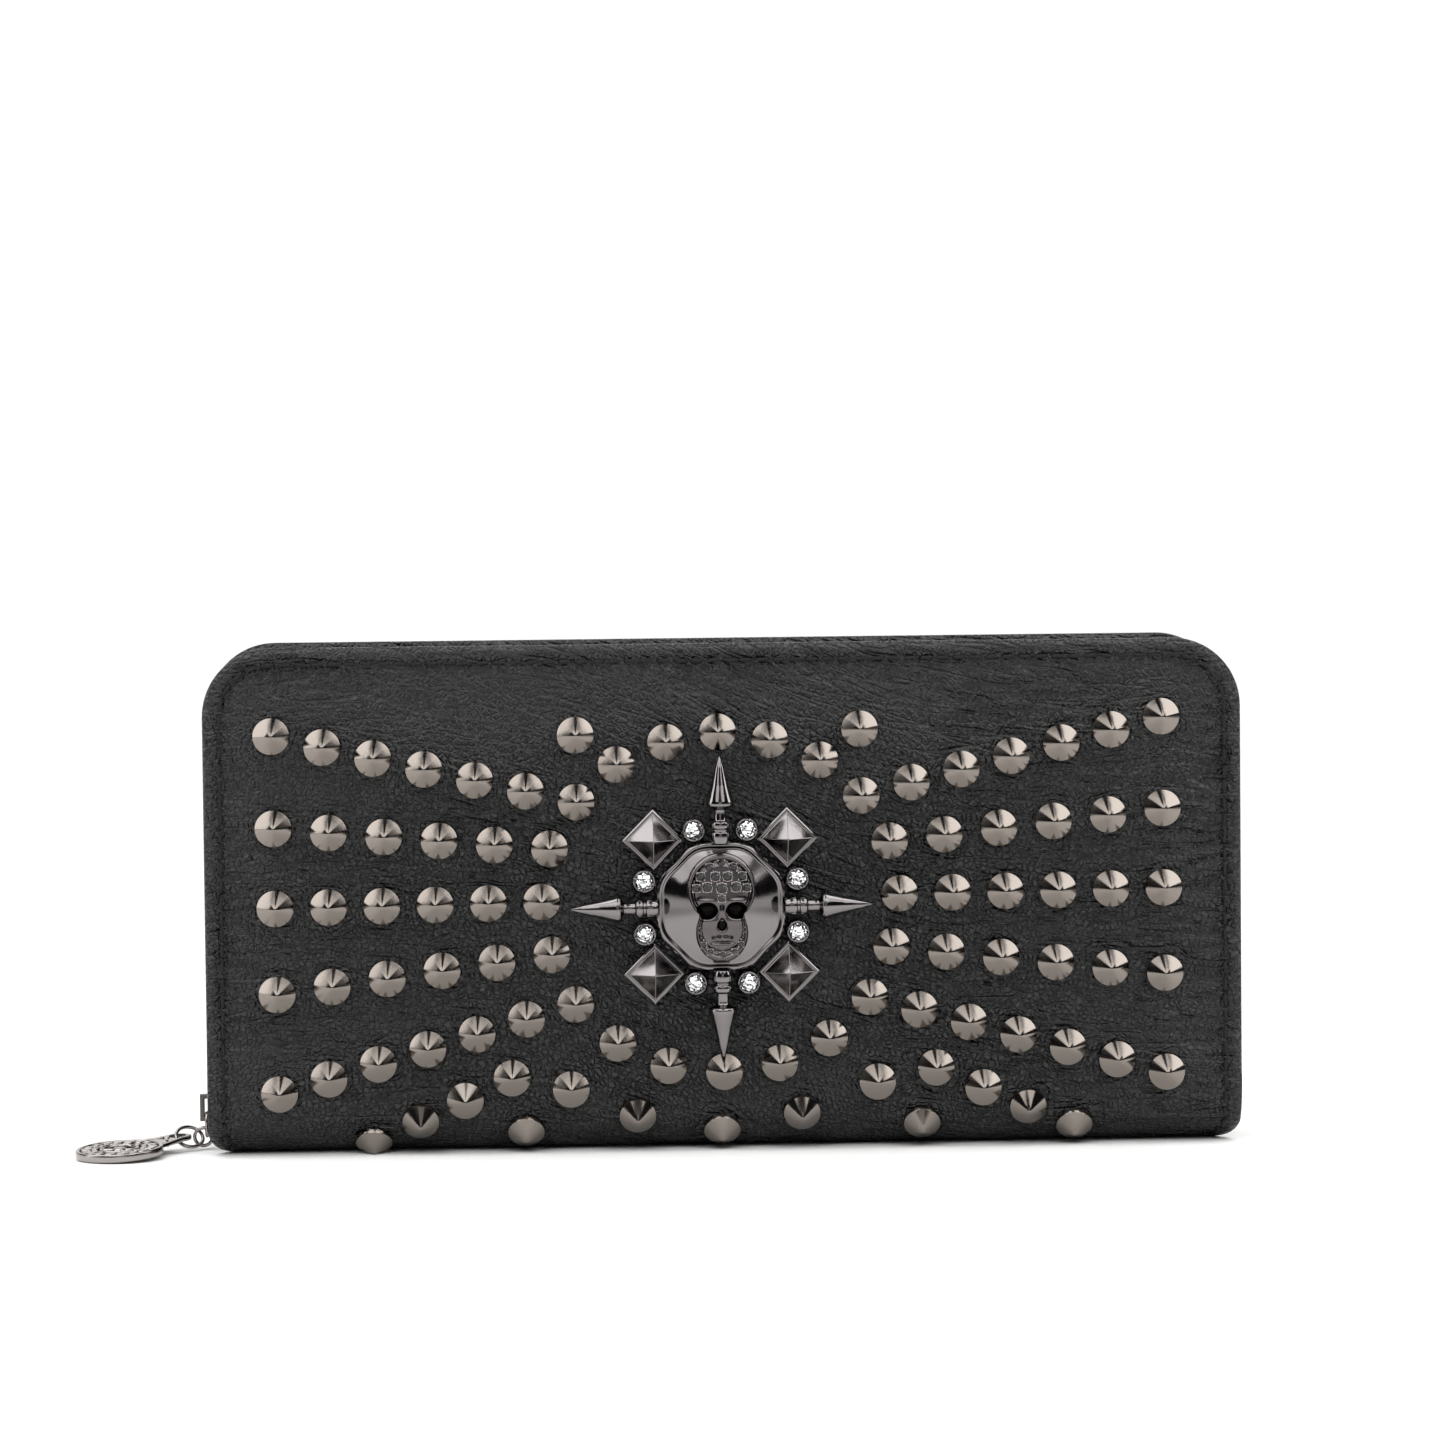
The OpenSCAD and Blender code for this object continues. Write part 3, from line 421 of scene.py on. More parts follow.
tape_cloth = woven("herringbone_zip_tape", "#131314", 0.5, 45, 0.03)
lining_cloth = woven("twill_lining", "#1c1c1f", 0.5, 45, 0.1)
pocket_cloth = woven("fine_pocket_cloth", "#202022", 0.5, 0, 0.08, 0.00003)
gusset_cloth = woven("gusset_cloth", "#19191b", 0.5, 0, 0.1)
thread = woven("black_bonded_thread", "#070707", 0.4, 60, 0.0)
print("five woven cloths and threads")

# %% [markdown]
# ## The leather covers
# Each cover is leather turned over a board: flat above, rolled at the bottom, round at the top
# corners and rounded along its rim. Flattened out, it is a rectangle with two round corners, so it
# is drawn as two sheets over that rectangle, a distance h each side of the middle layer. h falls
# to nought at the edge as a half ellipse does, which closes the rim and rounds it.

# %% From the flat leather to its place
def outer_face(side, t):
    """Side view of a cover's outer face after a length t up from the fold. Angle a = t / roll_r up
    to a right angle, then straight up. Returns y, z and the inward normal's y and z."""
    a = np.clip(t / roll_r, 0, np.pi / 2)
    y = side * (flat_y + roll_r * np.sin(a) + np.minimum(t, 0))
    z = roll_r * (1 - np.cos(a)) + np.maximum(t - roll_r * np.pi / 2, 0)
    return y, z, -side * np.sin(a), np.cos(a)


def half_width(z):
    """Half the width at height z: narrower by a quarter circle at the foot and at the top."""
    foot = foot_r - np.sqrt(foot_r ** 2 - np.clip(foot_r - z, 0, foot_r) ** 2)
    top = corner_r - np.sqrt(np.clip(corner_r ** 2 - np.clip(z - height + corner_r, 0, None) ** 2,
                                     0, None))
    return half_w - foot - top


def edge_distance(x, z):
    """Distance in from the cover's edge: to the corner's circle in a corner, else to a side."""
    side = half_width(np.minimum(z, height - corner_r)) - np.abs(x)
    top = height - z
    dx, dz = corner_r - side, corner_r - top
    corner = corner_r - np.hypot(dx, dz)
    return np.where((dx > 0) & (dz > 0), corner, np.minimum(side, top))


rim_steps = np.array([0, 0.05, 0.2, 0.45, 0.8, 1.25, 1.8, 2.5, 3.2, 4.0])
across = np.concatenate([rim_steps, np.linspace(5, half_w, 104)])
across = np.concatenate([across[:-1] - half_w, [0.0], (half_w - across[:-1])[::-1]]) / half_w
corner_rows = height - corner_r + corner_r * np.sin(np.radians(np.linspace(0, 90, 21)))
print("leather grid:", len(across), "points across")

# %% [markdown]
# Creases in leather lie side by side and run with the pull on it: level near the sides, where it
# was stretched over the board, and slanting across the middle. A sum of long waves, stretched
# along the flow, crosses nought along such lines, and each crossing is pressed in as a crease.

# %% Creases
def flow_lines(x, t):
    """Height on the leather with the slant taken out: t plus a smooth step in x, so that a level
    line in it slants by about 25 degrees near the middle."""
    return t + 18 * np.tanh(x / 42)


def waves(a, b, count, long_mm, short_mm, seed):
    """Sum of cosines with random directions and phases, long along a and short along b, scaled to
    unit spread."""
    draw = np.random.default_rng(seed)
    ka = draw.normal(0, 2 * np.pi / long_mm, count)
    kb = draw.normal(0, 0.35, count) + draw.choice([-1, 1], count)
    kb *= 2 * np.pi / short_mm * draw.uniform(0.6, 1.3, count)
    phase = draw.uniform(0, 2 * np.pi, count)
    return sum(np.cos(i * a + j * b + p) for i, j, p in zip(ka, kb, phase)) * np.sqrt(2 / count)


def creasing(x, t, seed):
    """How creased the leather is, from 0 to 1: more in the middle, low down and near the sides."""
    patches = waves(x, t, 24, 60, 55, seed + 1)
    bias = 0.35 * x / half_w + 0.5 * np.exp(-((half_w - np.abs(x)) / 14) ** 2)
    low = 0.45 * np.exp(-((t - 34) / 22) ** 2) + 0.55 * np.exp(-((x - 22) / 34) ** 2)
    return 1 / (1 + np.exp(-3.0 * (0.45 * patches + bias + low - 0.25)))


def surface_relief(x, t, d, seed):
    """Depth pressed into the outer face, in mm: creases, a groove under the stitches and a low
    puff between the groove and the rim."""
    field = waves(x, flow_lines(x, t), 36, 30, 6.5, seed)
    much = creasing(x, t, seed)
    crease = 0.38 * much * np.exp(-(field / 0.6) ** 2) + 0.07 * waves(x, t, 20, 22, 16, seed + 2)
    groove = 0.24 * np.exp(-((d - stitch_in) / 0.6) ** 2) - 0.08 * np.exp(-((d - 1.7) / 0.8) ** 2)
    inside = np.clip((d - 0.9) / 1.5, 0, 1)
    return np.clip(crease * inside, 0, None) + groove * (t > 4), much


stitch_in, stitch_pitch = 3.2, 3.1
print("creases: 6.5 mm apart in the mesh, finer ones in the bump")


# %% Build a cover
def cover(side, start, seed):
    """Two sheets over the flat leather, joined at the rim, from the length start upwards."""
    roll = np.linspace(0, roll_r * np.pi / 2, 21)
    rows = np.concatenate([np.linspace(start, 0, 7)[:-1] if start < 0 else [], roll,
                           roll_r * (np.pi / 2 - 1) + np.linspace(roll_r, corner_rows[0], 128)[1:],
                           roll_r * (np.pi / 2 - 1) + corner_rows[1:]])
    rows = np.sort(np.concatenate([rows, [start + 0.15, start + 0.4]]))
    y, z, ny, nz = (v[:, None] for v in outer_face(side, rows))
    x = across[None, :] * half_width(z)
    d = np.minimum(edge_distance(x, z), 3 * (rows[:, None] - start))
    middle = 0.5 * (leather_t + board_t * np.clip((z - roll_r) / 3, 0, 1))
    h = middle * rim_rise(d, middle + 0.2)
    dent, much = surface_relief(x, rows[:, None], np.maximum(d, 0), seed)
    faces, flows = [], []
    flow = spread(x, 0.0, flow_lines(x, rows[:, None]))
    for depth in (middle - h + dent * (h > 0.9 * middle), middle + h):
        faces.append(grid(spread(x, y + ny * depth, z + nz * depth)))
        flows.append(flow.reshape(-1, 3))
    return join(faces), np.concatenate(flows), np.tile(much.ravel(), 2)


shape, flow, much = cover(1, -2 * flat_y, 5)
back_cover = piece("back_cover_leather", shape, leather, flow=flow, crease=much)
belongs(back_cover, "back_cover", "leather", "back_leather", "spine_board", "back_board")
shape, flow, much = cover(-1, 0.0, 11)
front_cover = piece("front_cover_leather", shape, leather, flow=flow, crease=much)
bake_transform(front_cover)
belongs(front_cover, None, "leather", "front_leather", "fold_leather", "front_board")

# %% [markdown]
# ## Stitching
# A thick black thread runs round each cover, a little in from the rim. Each stitch is a short
# thread that rises from one needle hole and sinks into the next, so it is an oval ring carried
# along a low arch, copied at every 3.1 mm of the seam.

# %% Stitches
def seam_line(side, inset, pitch):
    """Points and directions a pitch apart along a line inset from the rim: up the left side,
    round the corners, down the right side. Directions are along the seam and out of the face."""
    r = corner_r - inset
    low, top = 3.4, height + roll_r * (np.pi / 2 - 1)
    straight, bend, level = top - corner_r - low, r * np.pi / 2, 2 * (half_w - corner_r)
    total = 2 * straight + 2 * bend + level
    s = np.arange(pitch / 2, total, pitch)
    s = np.where(s > total / 2, total - s, s)
    left = np.where(np.arange(len(s)) * pitch + pitch / 2 > total / 2, 1, -1)
    a = np.clip((s - straight) / r, 0, np.pi / 2)
    x = half_w - corner_r + r * np.cos(a) - np.clip(s - straight - bend, 0, None)
    t = low + np.minimum(s, straight) + r * np.sin(a)
    y, z, ny, nz = outer_face(side, t)
    narrow = half_w - half_width(np.minimum(z, height - corner_r))
    out = spread(0.0, -ny, -nz)
    up_face = -side * np.cross(out, [1.0, 0, 0])
    along = unit(spread(-left * np.sin(a), 0.0, 0.0) + np.cos(a)[:, None] * up_face)
    return spread(left * (x - narrow), y, z), along, out


def one_stitch(long, wide, high, lift, dip, rings, sides):
    """A ring carried along X on a low arch, lift - dip s ** 4 high, and narrowed at its ends."""
    s = np.linspace(-1, 1, rings)
    narrow = np.sqrt(1.02 - s ** 6)
    return swept(spread(long * s, 0.0, lift - dip * s ** 4), wide * narrow, high * narrow, sides)


def stitching(name, side, seed):
    """One stitch copied along the seam, each a little askew."""
    stitch = one_stitch(1.3, 0.36, 0.26, 0.06, 0.42, 7, 6)
    at, along, out = seam_line(side, stitch_in, stitch_pitch)
    wobble = np.random.default_rng(seed).normal(0, 0.05, len(at))
    along = unit(along + wobble[:, None] * np.cross(out, along))
    axes = np.stack([along, np.cross(out, along), out], -1)
    shape = copies(stitch, at - out * 0.05, axes)
    flow = np.tile(stitch[0], (len(at), 1))
    return piece(name, shape, thread, flow=flow, tidy=False)


belongs(stitching("back_cover_stitching", 1, 21), "back_cover", "leather")
front_stitching = stitching("front_cover_stitching", -1, 22)
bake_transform(front_stitching)
belongs(front_stitching, None, "leather")

# %% [markdown]
# ## Cone studs
# A stud is a pressed cap: a short upright skirt, a cone with barely rounded flanks and a blunt
# tip. The prongs of the CAD studs go through the leather and are left out here. One profile is
# turned and copied to each place. The places come from the CAD tips: the points that stand
# furthest out of the cover, gathered where they lie within two millimetres of each other.

# %% Where the studs are
def outward(p):
    """Height above the front cover and the direction out of it: straight out above the fold, and
    away from the roll's axis below it."""
    above = p[:, 2] >= roll_r
    dy, dz = p[:, 1] + flat_y, np.where(above, 0, p[:, 2] - roll_r)
    reach = np.hypot(dy, dz)
    return reach - roll_r, spread(0.0, dy / reach, dz / reach)


def points_mm(name):
    """All points of a CAD node, in millimetres."""
    mesh = nodes[name].data
    co = np.empty(len(mesh.vertices) * 3)
    mesh.vertices.foreach_get("co", co)
    return co.reshape(-1, 3) / MM


def gathered(points, within):
    """Means of the clusters: a point belongs to the first point that lies within reach of it."""
    near = np.linalg.norm(points[:, None] - points[None], axis=2) < within
    first = near.argmax(axis=1)
    return np.array([points[first == k].mean(0) for k in np.unique(first)])


stud_nodes = [n for n in nodes if n.startswith("studs_")]
stud_h, stud_r, skirt_h = 3.4, 3.5, 0.85
tip_r, tip_h = 0.42, stud_h - 0.14
stud_at = {}
for name in stud_nodes:
    cloud = np.unique(points_mm(name).round(3), axis=0)
    tips = cloud[outward(cloud)[0] > stud_h - 0.02]
    stud_at[name] = gathered(tips, 2.0)
print("studs:", sum(len(v) for v in stud_at.values()))

# %% One stud, and its copies
flank = np.linspace(0, 1, 5)[1:-1]
stud_profile = np.array(
    [[stud_r - 0.35, -0.05], [stud_r - 0.08, -0.02], [stud_r, 0.08], [stud_r, skirt_h - 0.12],
     [stud_r - 0.05, skirt_h + 0.03]]
    + [[stud_r + (tip_r - stud_r) * f, skirt_h + (tip_h - skirt_h) * f
        + 0.03 * np.sin(np.pi * f)] for f in flank]
    + [[tip_r, tip_h], [0.2, stud_h - 0.03], [0.0, stud_h]])
stud = turned(stud_profile, 36)


def standing(out):
    """Axes for pieces that stand on the cover: Z goes out of it, X stays level across it."""
    side = np.tile([1.0, 0.0, 0.0], (len(out), 1))
    return np.stack([side, np.cross(out, side), out], -1)


for name, tips in stud_at.items():
    lift, out = outward(tips)
    shape = copies(stud, tips - out * lift[:, None], standing(out))
    caps = piece(name + "_caps", shape, stud_metal, angle=28)
    belongs(caps, "front_cover", "stud_metal", name)

# %% [markdown]
# ## Medallion
# In the middle sits a cast plate: eight low sides, a beaded rim and a smooth dome. Everything on
# it is drawn flat on the XY plane about its centre and then stood up against the cover, with the
# small turn that the CAD spikes have.

# %% Where the medallion is
plate_low, plate_high = box_mm("medallion_plate")
centre = 0.5 * (plate_low + plate_high)
centre[1] = -half_t
plate_r = 0.5 * (plate_high[0] - plate_low[0])
plate_h = plate_high[1] - plate_low[1]
spike_points = points_mm("medallion_spikes")
east_tip = spike_points[spike_points[:, 0].argmax()] - centre
turn = np.arctan2(east_tip[2], east_tip[0])
medal_axes = np.array([[np.cos(turn), -np.sin(turn), 0], [0, 0, -1],
                       [np.sin(turn), np.cos(turn), 0]])
quarter = [np.array([[np.cos(q), -np.sin(q), 0], [np.sin(q), np.cos(q), 0], [0, 0, 1]])
           for q in np.radians([0, 90, 180, 270])]


def on_medallion(shape):
    """From the drawing plane to the cover: X stays across, Y goes up and Z comes forward."""
    return moved(shape, centre, medal_axes)


def around(shape, angles, reach):
    """Copies at a distance from the centre, each turned to face outwards."""
    angles = np.radians(angles)
    c, s = np.cos(angles), np.sin(angles)
    axes = np.stack([spread(c, s, 0.0), spread(-s, c, 0.0), spread(0 * c, 0.0, 1.0)], -1)
    return copies(shape, reach * spread(c, s, 0.0), axes)


print(f"medallion: radius {plate_r:.1f}, turned {np.degrees(turn):.2f} degrees")

# %% [markdown]
# A small relief skull lies in a seat pressed into the dome, so its outline is needed first: a round
# cranium and a narrower round jaw. The seat is kept a little inside that outline.

# %% The skull's outline
skull_low, skull_high = box_mm("skull")
skull_half_w = 0.5 * (skull_high[0] - skull_low[0])


def bump_at(x, y, cx, cy, rx, ry, power=2):
    """1 in the middle of an oval, falling smoothly to 0 away from it: exp(-(distance) ** power)."""
    return np.exp(-(((x - cx) / rx) ** 2 + ((y - cy) / ry) ** 2) ** (power / 2))


def skull_outline(t):
    """Radius of the outline at an angle: the furthest reach of a round cranium and a narrower
    round jaw, joined by a soft waist at the cheeks."""
    def circle_reach(cy, rx, ry):
        """Distance along the ray to an oval centred at (0, cy)."""
        c, s = np.cos(t) / rx, np.sin(t) / ry
        b = s * cy / ry
        inside = b ** 2 - (c ** 2 + s ** 2) * ((cy / ry) ** 2 - 1)
        return (b + np.sqrt(np.clip(inside, 0, None))) / (c ** 2 + s ** 2)
    cranium = circle_reach(3.75, skull_half_w, 6.75)
    jaw = circle_reach(-4.9, 5.0, 5.55)
    return (cranium ** 9 + jaw ** 9) ** (1 / 9) * 0.985


seat = plate_h - 1.1
print(f"skull: {2 * skull_half_w:.1f} mm wide")

# %% Domed plate
def domed_plate():
    """Polar grid: the radius is r (1 - 0.022 cos 8t), which gives eight soft sides, and the height
    over r is a rim bead, a small valley and then a dome that is a power of the radius. Under the
    skull the dome is pressed down below its seat."""
    f = np.concatenate([np.linspace(0, 0.86, 44), [0.885, 0.905, 0.92, 0.935, 0.95, 0.965, 0.98,
                                                   0.992, 1.0, 1.0, 1.0, 0.985]])
    dome = 1.25 + (plate_h - 1.25) * (1 - (f / 0.9) ** 2.3)
    z = np.where(f <= 0.90, dome, 1.25 + 0.35 * np.sin(np.pi * np.clip((f - 0.9) / 0.1, 0, 1)))
    z[-3:] = [0.9, 0.1, 0.0]
    t = np.linspace(0, 2 * np.pi, 193)[:-1]
    r = plate_r * 0.975 * (1 - 0.022 * np.cos(8 * t))[:, None] * f
    z = np.where(r < 0.93 * skull_outline(t)[:, None], seat - 0.3, z)
    return grid(spread(r * np.cos(t)[:, None], r * np.sin(t)[:, None], z), wrap_u=True)


plate = piece("medallion_domed_plate", on_medallion(domed_plate()), medallion_metal, angle=50)
belongs(plate, "front_cover", "medallion_metal", "medallion_plate")

# %% [markdown]
# Four turned spikes lie on the leather and point away from the plate. Each is one profile turned
# about its own axis: a collar with a groove, a thin neck, a flange and a long cone.

# %% Spikes
reach = float(np.hypot(east_tip[0], east_tip[2]))
spike_r = 0.5 * np.ptp(spike_points[:, 1])
collar = plate_r + 0.1
cone = collar + 6.2
spike_profile = rounded([
    [0.0, collar - 0.8], [1.55, collar - 0.8], [1.72, collar + 0.2], [1.72, collar + 1.3],
    [1.35, collar + 1.5], [1.35, collar + 1.9], [1.72, collar + 2.1], [1.72, collar + 3.2],
    [1.2, collar + 3.5], [1.1, cone - 0.9], [1.35, cone - 0.5], [spike_r - 0.25, cone],
    [spike_r, cone + 0.3], [spike_r - 0.02, cone + 0.9], [0.62 * spike_r, cone + 4.0],
    [0.30 * spike_r, reach - 2.0], [0.16, reach - 0.2], [0.0, reach]], 0.2)
spike = turned(spike_profile, 32)
along_x = np.array([[0, 0, 1.0], [0, 1.0, 0], [-1.0, 0, 0]])
spike = moved(spike, (0, 0, spike_r + 0.05), along_x)
spikes = join([moved(spike, axes=q) for q in quarter])
spikes = piece("medallion_turned_spikes", on_medallion(spikes), medallion_metal, angle=40)
belongs(spikes, "front_cover", "medallion_metal", "medallion_spikes")

# %% [markdown]
# Four pyramids sit on the diagonals on stepped square skirts. A square ring is a circle whose
# radius is divided by the larger of |cos| and |sin|, and the edges get a small bevel, because a
# cast and polished arris is never knife sharp.

# %% Pyramids
def square_turned(profile):
    """A profile of (half-width, height) carried round a square: four corners to each ring."""
    w, z = np.asarray(profile, float).T
    corner = np.array([[1, 1], [-1, 1], [-1, -1], [1, -1]])
    return grid(spread(corner[:, None, 0] * w, corner[:, None, 1] * w, z), wrap_u=True)


pyramid_h, pyramid_reach = 5.0, 17.9
pyramid = square_turned([[0, 0], [4.15, 0], [4.15, 0.55], [3.85, 0.8], [3.55, 0.8], [3.5, 1.55],
                         [3.3, 1.65], [0.16, pyramid_h - 0.05], [0, pyramid_h]])
pyramids = around(pyramid, [45, 135, 225, 315], pyramid_reach)
pyramids = piece("medallion_cast_pyramids", on_medallion(pyramids), medallion_metal, smooth=False)
bevel = pyramids.modifiers.new("soft_arris", "BEVEL")
bevel.width, bevel.segments, bevel.limit_method = 0.12 * MM, 2, "ANGLE"
bevel.angle_limit = np.radians(22)
belongs(pyramids, "front_cover", "medallion_metal", "medallion_pyramids")

# %% [markdown]
# ## Crystals
# Eight clear cut crystals with foiled backs sit in turned cups, two beside each spike. A brilliant
# has a flat table, a ring of kite-shaped crown facets and a girdle. The foil makes it flash from
# white to dark as a mirror does, so it is a bright mirror under a clear glass coat.

# %% Cups and crystals
def brilliant(radius, table, height, sides=8):
    """Three rings of points: the girdle, a middle ring turned by half a step, and the table; flat
    triangles between them are the facets."""
    t = around_once(sides)
    h = np.pi / sides
    rings = [(radius, 0.0, h), (radius, 0.18, h), (0.80 * radius, 0.62 * height, 0.0),
             (table, height, h)]
    points = [spread(r * np.cos(t + o), r * np.sin(t + o), z) for r, z, o in rings]
    points.append(np.array([[0, 0, height], [0, 0, -0.3]]))
    i, j = np.arange(sides), (np.arange(sides) + 1) % sides
    top, under = 4 * sides, 4 * sides + 1
    a, b, c, d = (k * sides for k in range(4))
    quads = [np.stack([a + i, a + j, b + j, b + i], -1)]
    tris = [np.stack(v, -1) for v in (
        (b + i, b + j, c + j), (b + i, c + j, c + i), (c + i, c + j, d + i), (c + j, d + j, d + i),
        (d + i, d + j, top + 0 * i), (a + j, a + i, under + 0 * i))]
    return np.concatenate(points), quads + tris


def cut_stone(name, colour, metallic, shine, flaw_mm, strength, depth):
    """A clear glass coat over a coloured mirror; cells of a flaw's size tip the reflections."""
    made, tree, shader = material(name, Metallic=metallic, Base_Color=linear(colour),
                                  Roughness=shine, Coat_Weight=1.0, Coat_Roughness=0.02)
    place = node(tree, "ShaderNodeTexCoord").outputs["Object"]
    flaw = node(tree, "ShaderNodeTexVoronoi", {"Vector": place, "Scale": 1 / (flaw_mm * MM)})
    split = node(tree, "ShaderNodeBump", {"Height": flaw.outputs["Distance"],
                 "Strength": strength, "Distance": depth})
    tree.links.new(split.outputs[0], shader.inputs["Normal"])
    return made


foil = cut_stone("foiled_clear_crystal", "#f4f6f8", 1.0, 0.04, 0.75, 1.0, 0.0002)

crystal_r, crystal_reach, crystal_turn = 1.7, 15.3, 19
crystal_angles = [q + s * crystal_turn for q in (0, 90, 180, 270) for s in (-1, 1)]
cup = turned(rounded([[0, 0.0], [2.38, 0.0], [2.4, 1.2], [2.15, 1.75], [2.15, 2.05], [1.95, 2.25],
                      [1.72, 2.1], [1.66, 1.2], [0.9, 0.9], [0, 0.9]], 0.12), 28)
prong = swept(np.array([[2.2, 0, 1.6], [2.1, 0, 2.2], [1.75, 0, 2.55], [1.4, 0, 2.6]]),
              [0.3, 0.3, 0.28, 0.16], [0.2, 0.2, 0.16, 0.1], 6)
prongs = join([moved(prong, axes=q) for q in quarter])
cups = around(join([cup, prongs]), crystal_angles, crystal_reach)
cups = piece("crystal_turned_cups", on_medallion(cups), medallion_metal, angle=45)
belongs(cups, "front_cover", "medallion_metal", "crystal_cups")
gem = moved(brilliant(crystal_r, 0.95, 0.85), (0, 0, 1.85))
gems = piece("crystal_brilliants", on_medallion(around(gem, crystal_angles, crystal_reach)), foil,
             smooth=False)
belongs(gems, "front_cover", "crystal", "crystals")

# %% [markdown]
# ## Skull
# A small relief skull, a plain round-headed one, lies in a seat in the dome. It is a height over a
# flat outline: a polar grid whose outer ring is the outline, lifted by a crowned forehead, a raised
# rim, brows, cheeks and rows of teeth, and pressed in at the eyes and the nose.

# %% Height
def skull_height(x, y, f):
    """Height above the seat, in mm, at x and y; f is the share of the way out to the outline."""
    dome = 1.75 + 0.75 * (1 - f ** 2)
    rim = 0.45 * np.exp(-((f - 0.93) / 0.045) ** 2) - 0.35 * np.exp(-((f - 0.83) / 0.05) ** 2)

    def pair(*oval):
        """The same bump on the left and on the right."""
        return sum(bump_at(x, y, s * oval[0], *oval[1:]) for s in (-1, 1))
    eyes, bowl = pair(2.75, -0.55, 1.8, 1.4, 8), pair(2.75, -0.55, 1.3, 1.0)
    brows, under = pair(2.8, 1.25, 2.1, 0.45), pair(3.1, -2.5, 1.9, 0.45)
    nose = bump_at(x, y, 0, -3.35, 0.85, 0.95, 6) + bump_at(x, y, 0, -2.5, 0.4, 0.5, 4)
    mouth = bump_at(x, y, 0, -6.55, 2.6, 1.25, 8)
    gap = bump_at(x, y, 0, -6.55, 9, 0.2)
    teeth = mouth * (0.45 * np.abs(np.sin(np.pi * x / 1.1)) ** 0.5 - 0.6 * gap)
    bridge = bump_at(x, y, 0, -0.6, 0.5, 1.2)
    lift = dome + rim + 0.3 * brows + 0.22 * under + 0.25 * bridge + 0.9 * teeth - 0.15 * mouth
    return lift - 1.3 * np.clip(eyes, 0, 1) - 0.5 * bowl - 0.9 * np.clip(nose, 0, 1)


def skull_relief():
    """The polar grid, and a wall down to the seat at its outer ring."""
    t = np.linspace(0, 2 * np.pi, 145)[:-1]
    f = np.concatenate([np.linspace(0, 1, 62), [1.0, 0.995]])
    r = skull_outline(t)[:, None] * f
    x, y = r * np.cos(t)[:, None], r * np.sin(t)[:, None]
    z = skull_height(x, y, f)
    z = np.where(f > 0.985, np.minimum(z, 1.7), z)
    z[:, -2:] = [0.6, 0.0]
    return grid(spread(x, y, z + seat), wrap_u=True)


skull = piece("skull_relief", on_medallion(skull_relief()), skull_metal)
skull.data.materials.append(dark_cast)
middles = np.empty(3 * len(skull.data.polygons))
skull.data.polygons.foreach_get("center", middles)
flat = (middles.reshape(-1, 3) / MM - centre) @ medal_axes
in_socket = bump_at(np.abs(flat[:, 0]), flat[:, 1], 2.75, -0.55, 1.75, 1.35, 8) > 0.4
in_socket |= bump_at(flat[:, 0], flat[:, 1], 0, -3.35, 0.8, 0.9, 6) > 0.4
skull.data.polygons.foreach_set("material_index", in_socket.astype(np.int32))
belongs(skull, "front_cover", "skull_metal", "skull")

# %% [markdown]
# Smoke-black stones are set close together over the forehead and round the jaw, each held by tiny
# beads of metal. They are the same brilliant as before, in black glass.

# %% Dark stones and beads
smoke = cut_stone("smoke_black_cut_glass", "#1c1b1e", 0.5, 0.05, 0.5, 0.8, 0.0001)

forehead = [(0.0, 8.3, 0.72), (-2.2, 7.6, 0.8), (2.2, 7.6, 0.8), (-3.9, 5.9, 0.8), (3.9, 5.9, 0.8),
            (-1.15, 5.9, 0.85), (1.15, 5.9, 0.85), (-4.75, 3.7, 0.75), (4.75, 3.7, 0.75),
            (-2.7, 3.9, 0.9), (2.7, 3.9, 0.9), (0.0, 3.7, 0.95), (0.0, 1.75, 0.7)]
jaw = [(s * x, y, r) for x, y, r in ((3.95, -4.2, 0.5), (3.95, -5.6, 0.5), (3.5, -7.0, 0.55),
                                     (2.3, -8.35, 0.6)) for s in (-1, 1)]
jaw.append((0.0, -8.95, 0.62))
stones = np.array(forehead + jaw)
angle = np.arctan2(stones[:, 1], stones[:, 0])
share = np.hypot(stones[:, 0], stones[:, 1]) / skull_outline(angle)
height_there = skull_height(stones[:, 0], stones[:, 1], share) + seat
spots = np.column_stack([stones[:, :2], height_there - 0.08])
scaled = stones[:, 2][:, None, None] * np.eye(3)
gem_shapes = copies(brilliant(1.0, 0.55, 0.62, 8), spots, scaled)
dark = piece("skull_cut_stones", on_medallion(gem_shapes), smoke, smooth=False)
belongs(dark, "front_cover", "dark_crystal", "skull_crystals")

ring = turned(np.array([[0.98, -0.2], [1.22, -0.1], [1.24, 0.12], [1.12, 0.26], [0.98, 0.2],
                        [0.98, -0.2]]), 14)
bead = turned(np.array([[0, -0.15], [0.22, -0.1], [0.26, 0.05], [0.16, 0.2], [0, 0.25]]), 8)
collars = copies(ring, spots + [0, 0, 0.02], scaled)
around_stone = np.radians([45, 135, 225, 315])
bead_ring = spread(np.cos(around_stone), np.sin(around_stone), 0.0)
bead_spots = spots[:, None] + stones[:, 2][:, None, None] * 1.22 * bead_ring + [0, 0, 0.12]
bead_spots = bead_spots.reshape(-1, 3)
beads = copies(bead, bead_spots, np.tile(np.eye(3), (len(bead_spots), 1, 1)))
settings = piece("skull_stone_settings", on_medallion(join([collars, beads])), pull_metal)
belongs(settings, "front_cover", "skull_metal")

# %% [markdown]
# ## Softened copies
# A small machined part is already right in shape but its edges are knife sharp. Its copy is merged
# at its doubled points, its flat faces are joined into one each, and its edges get a narrow bevel.

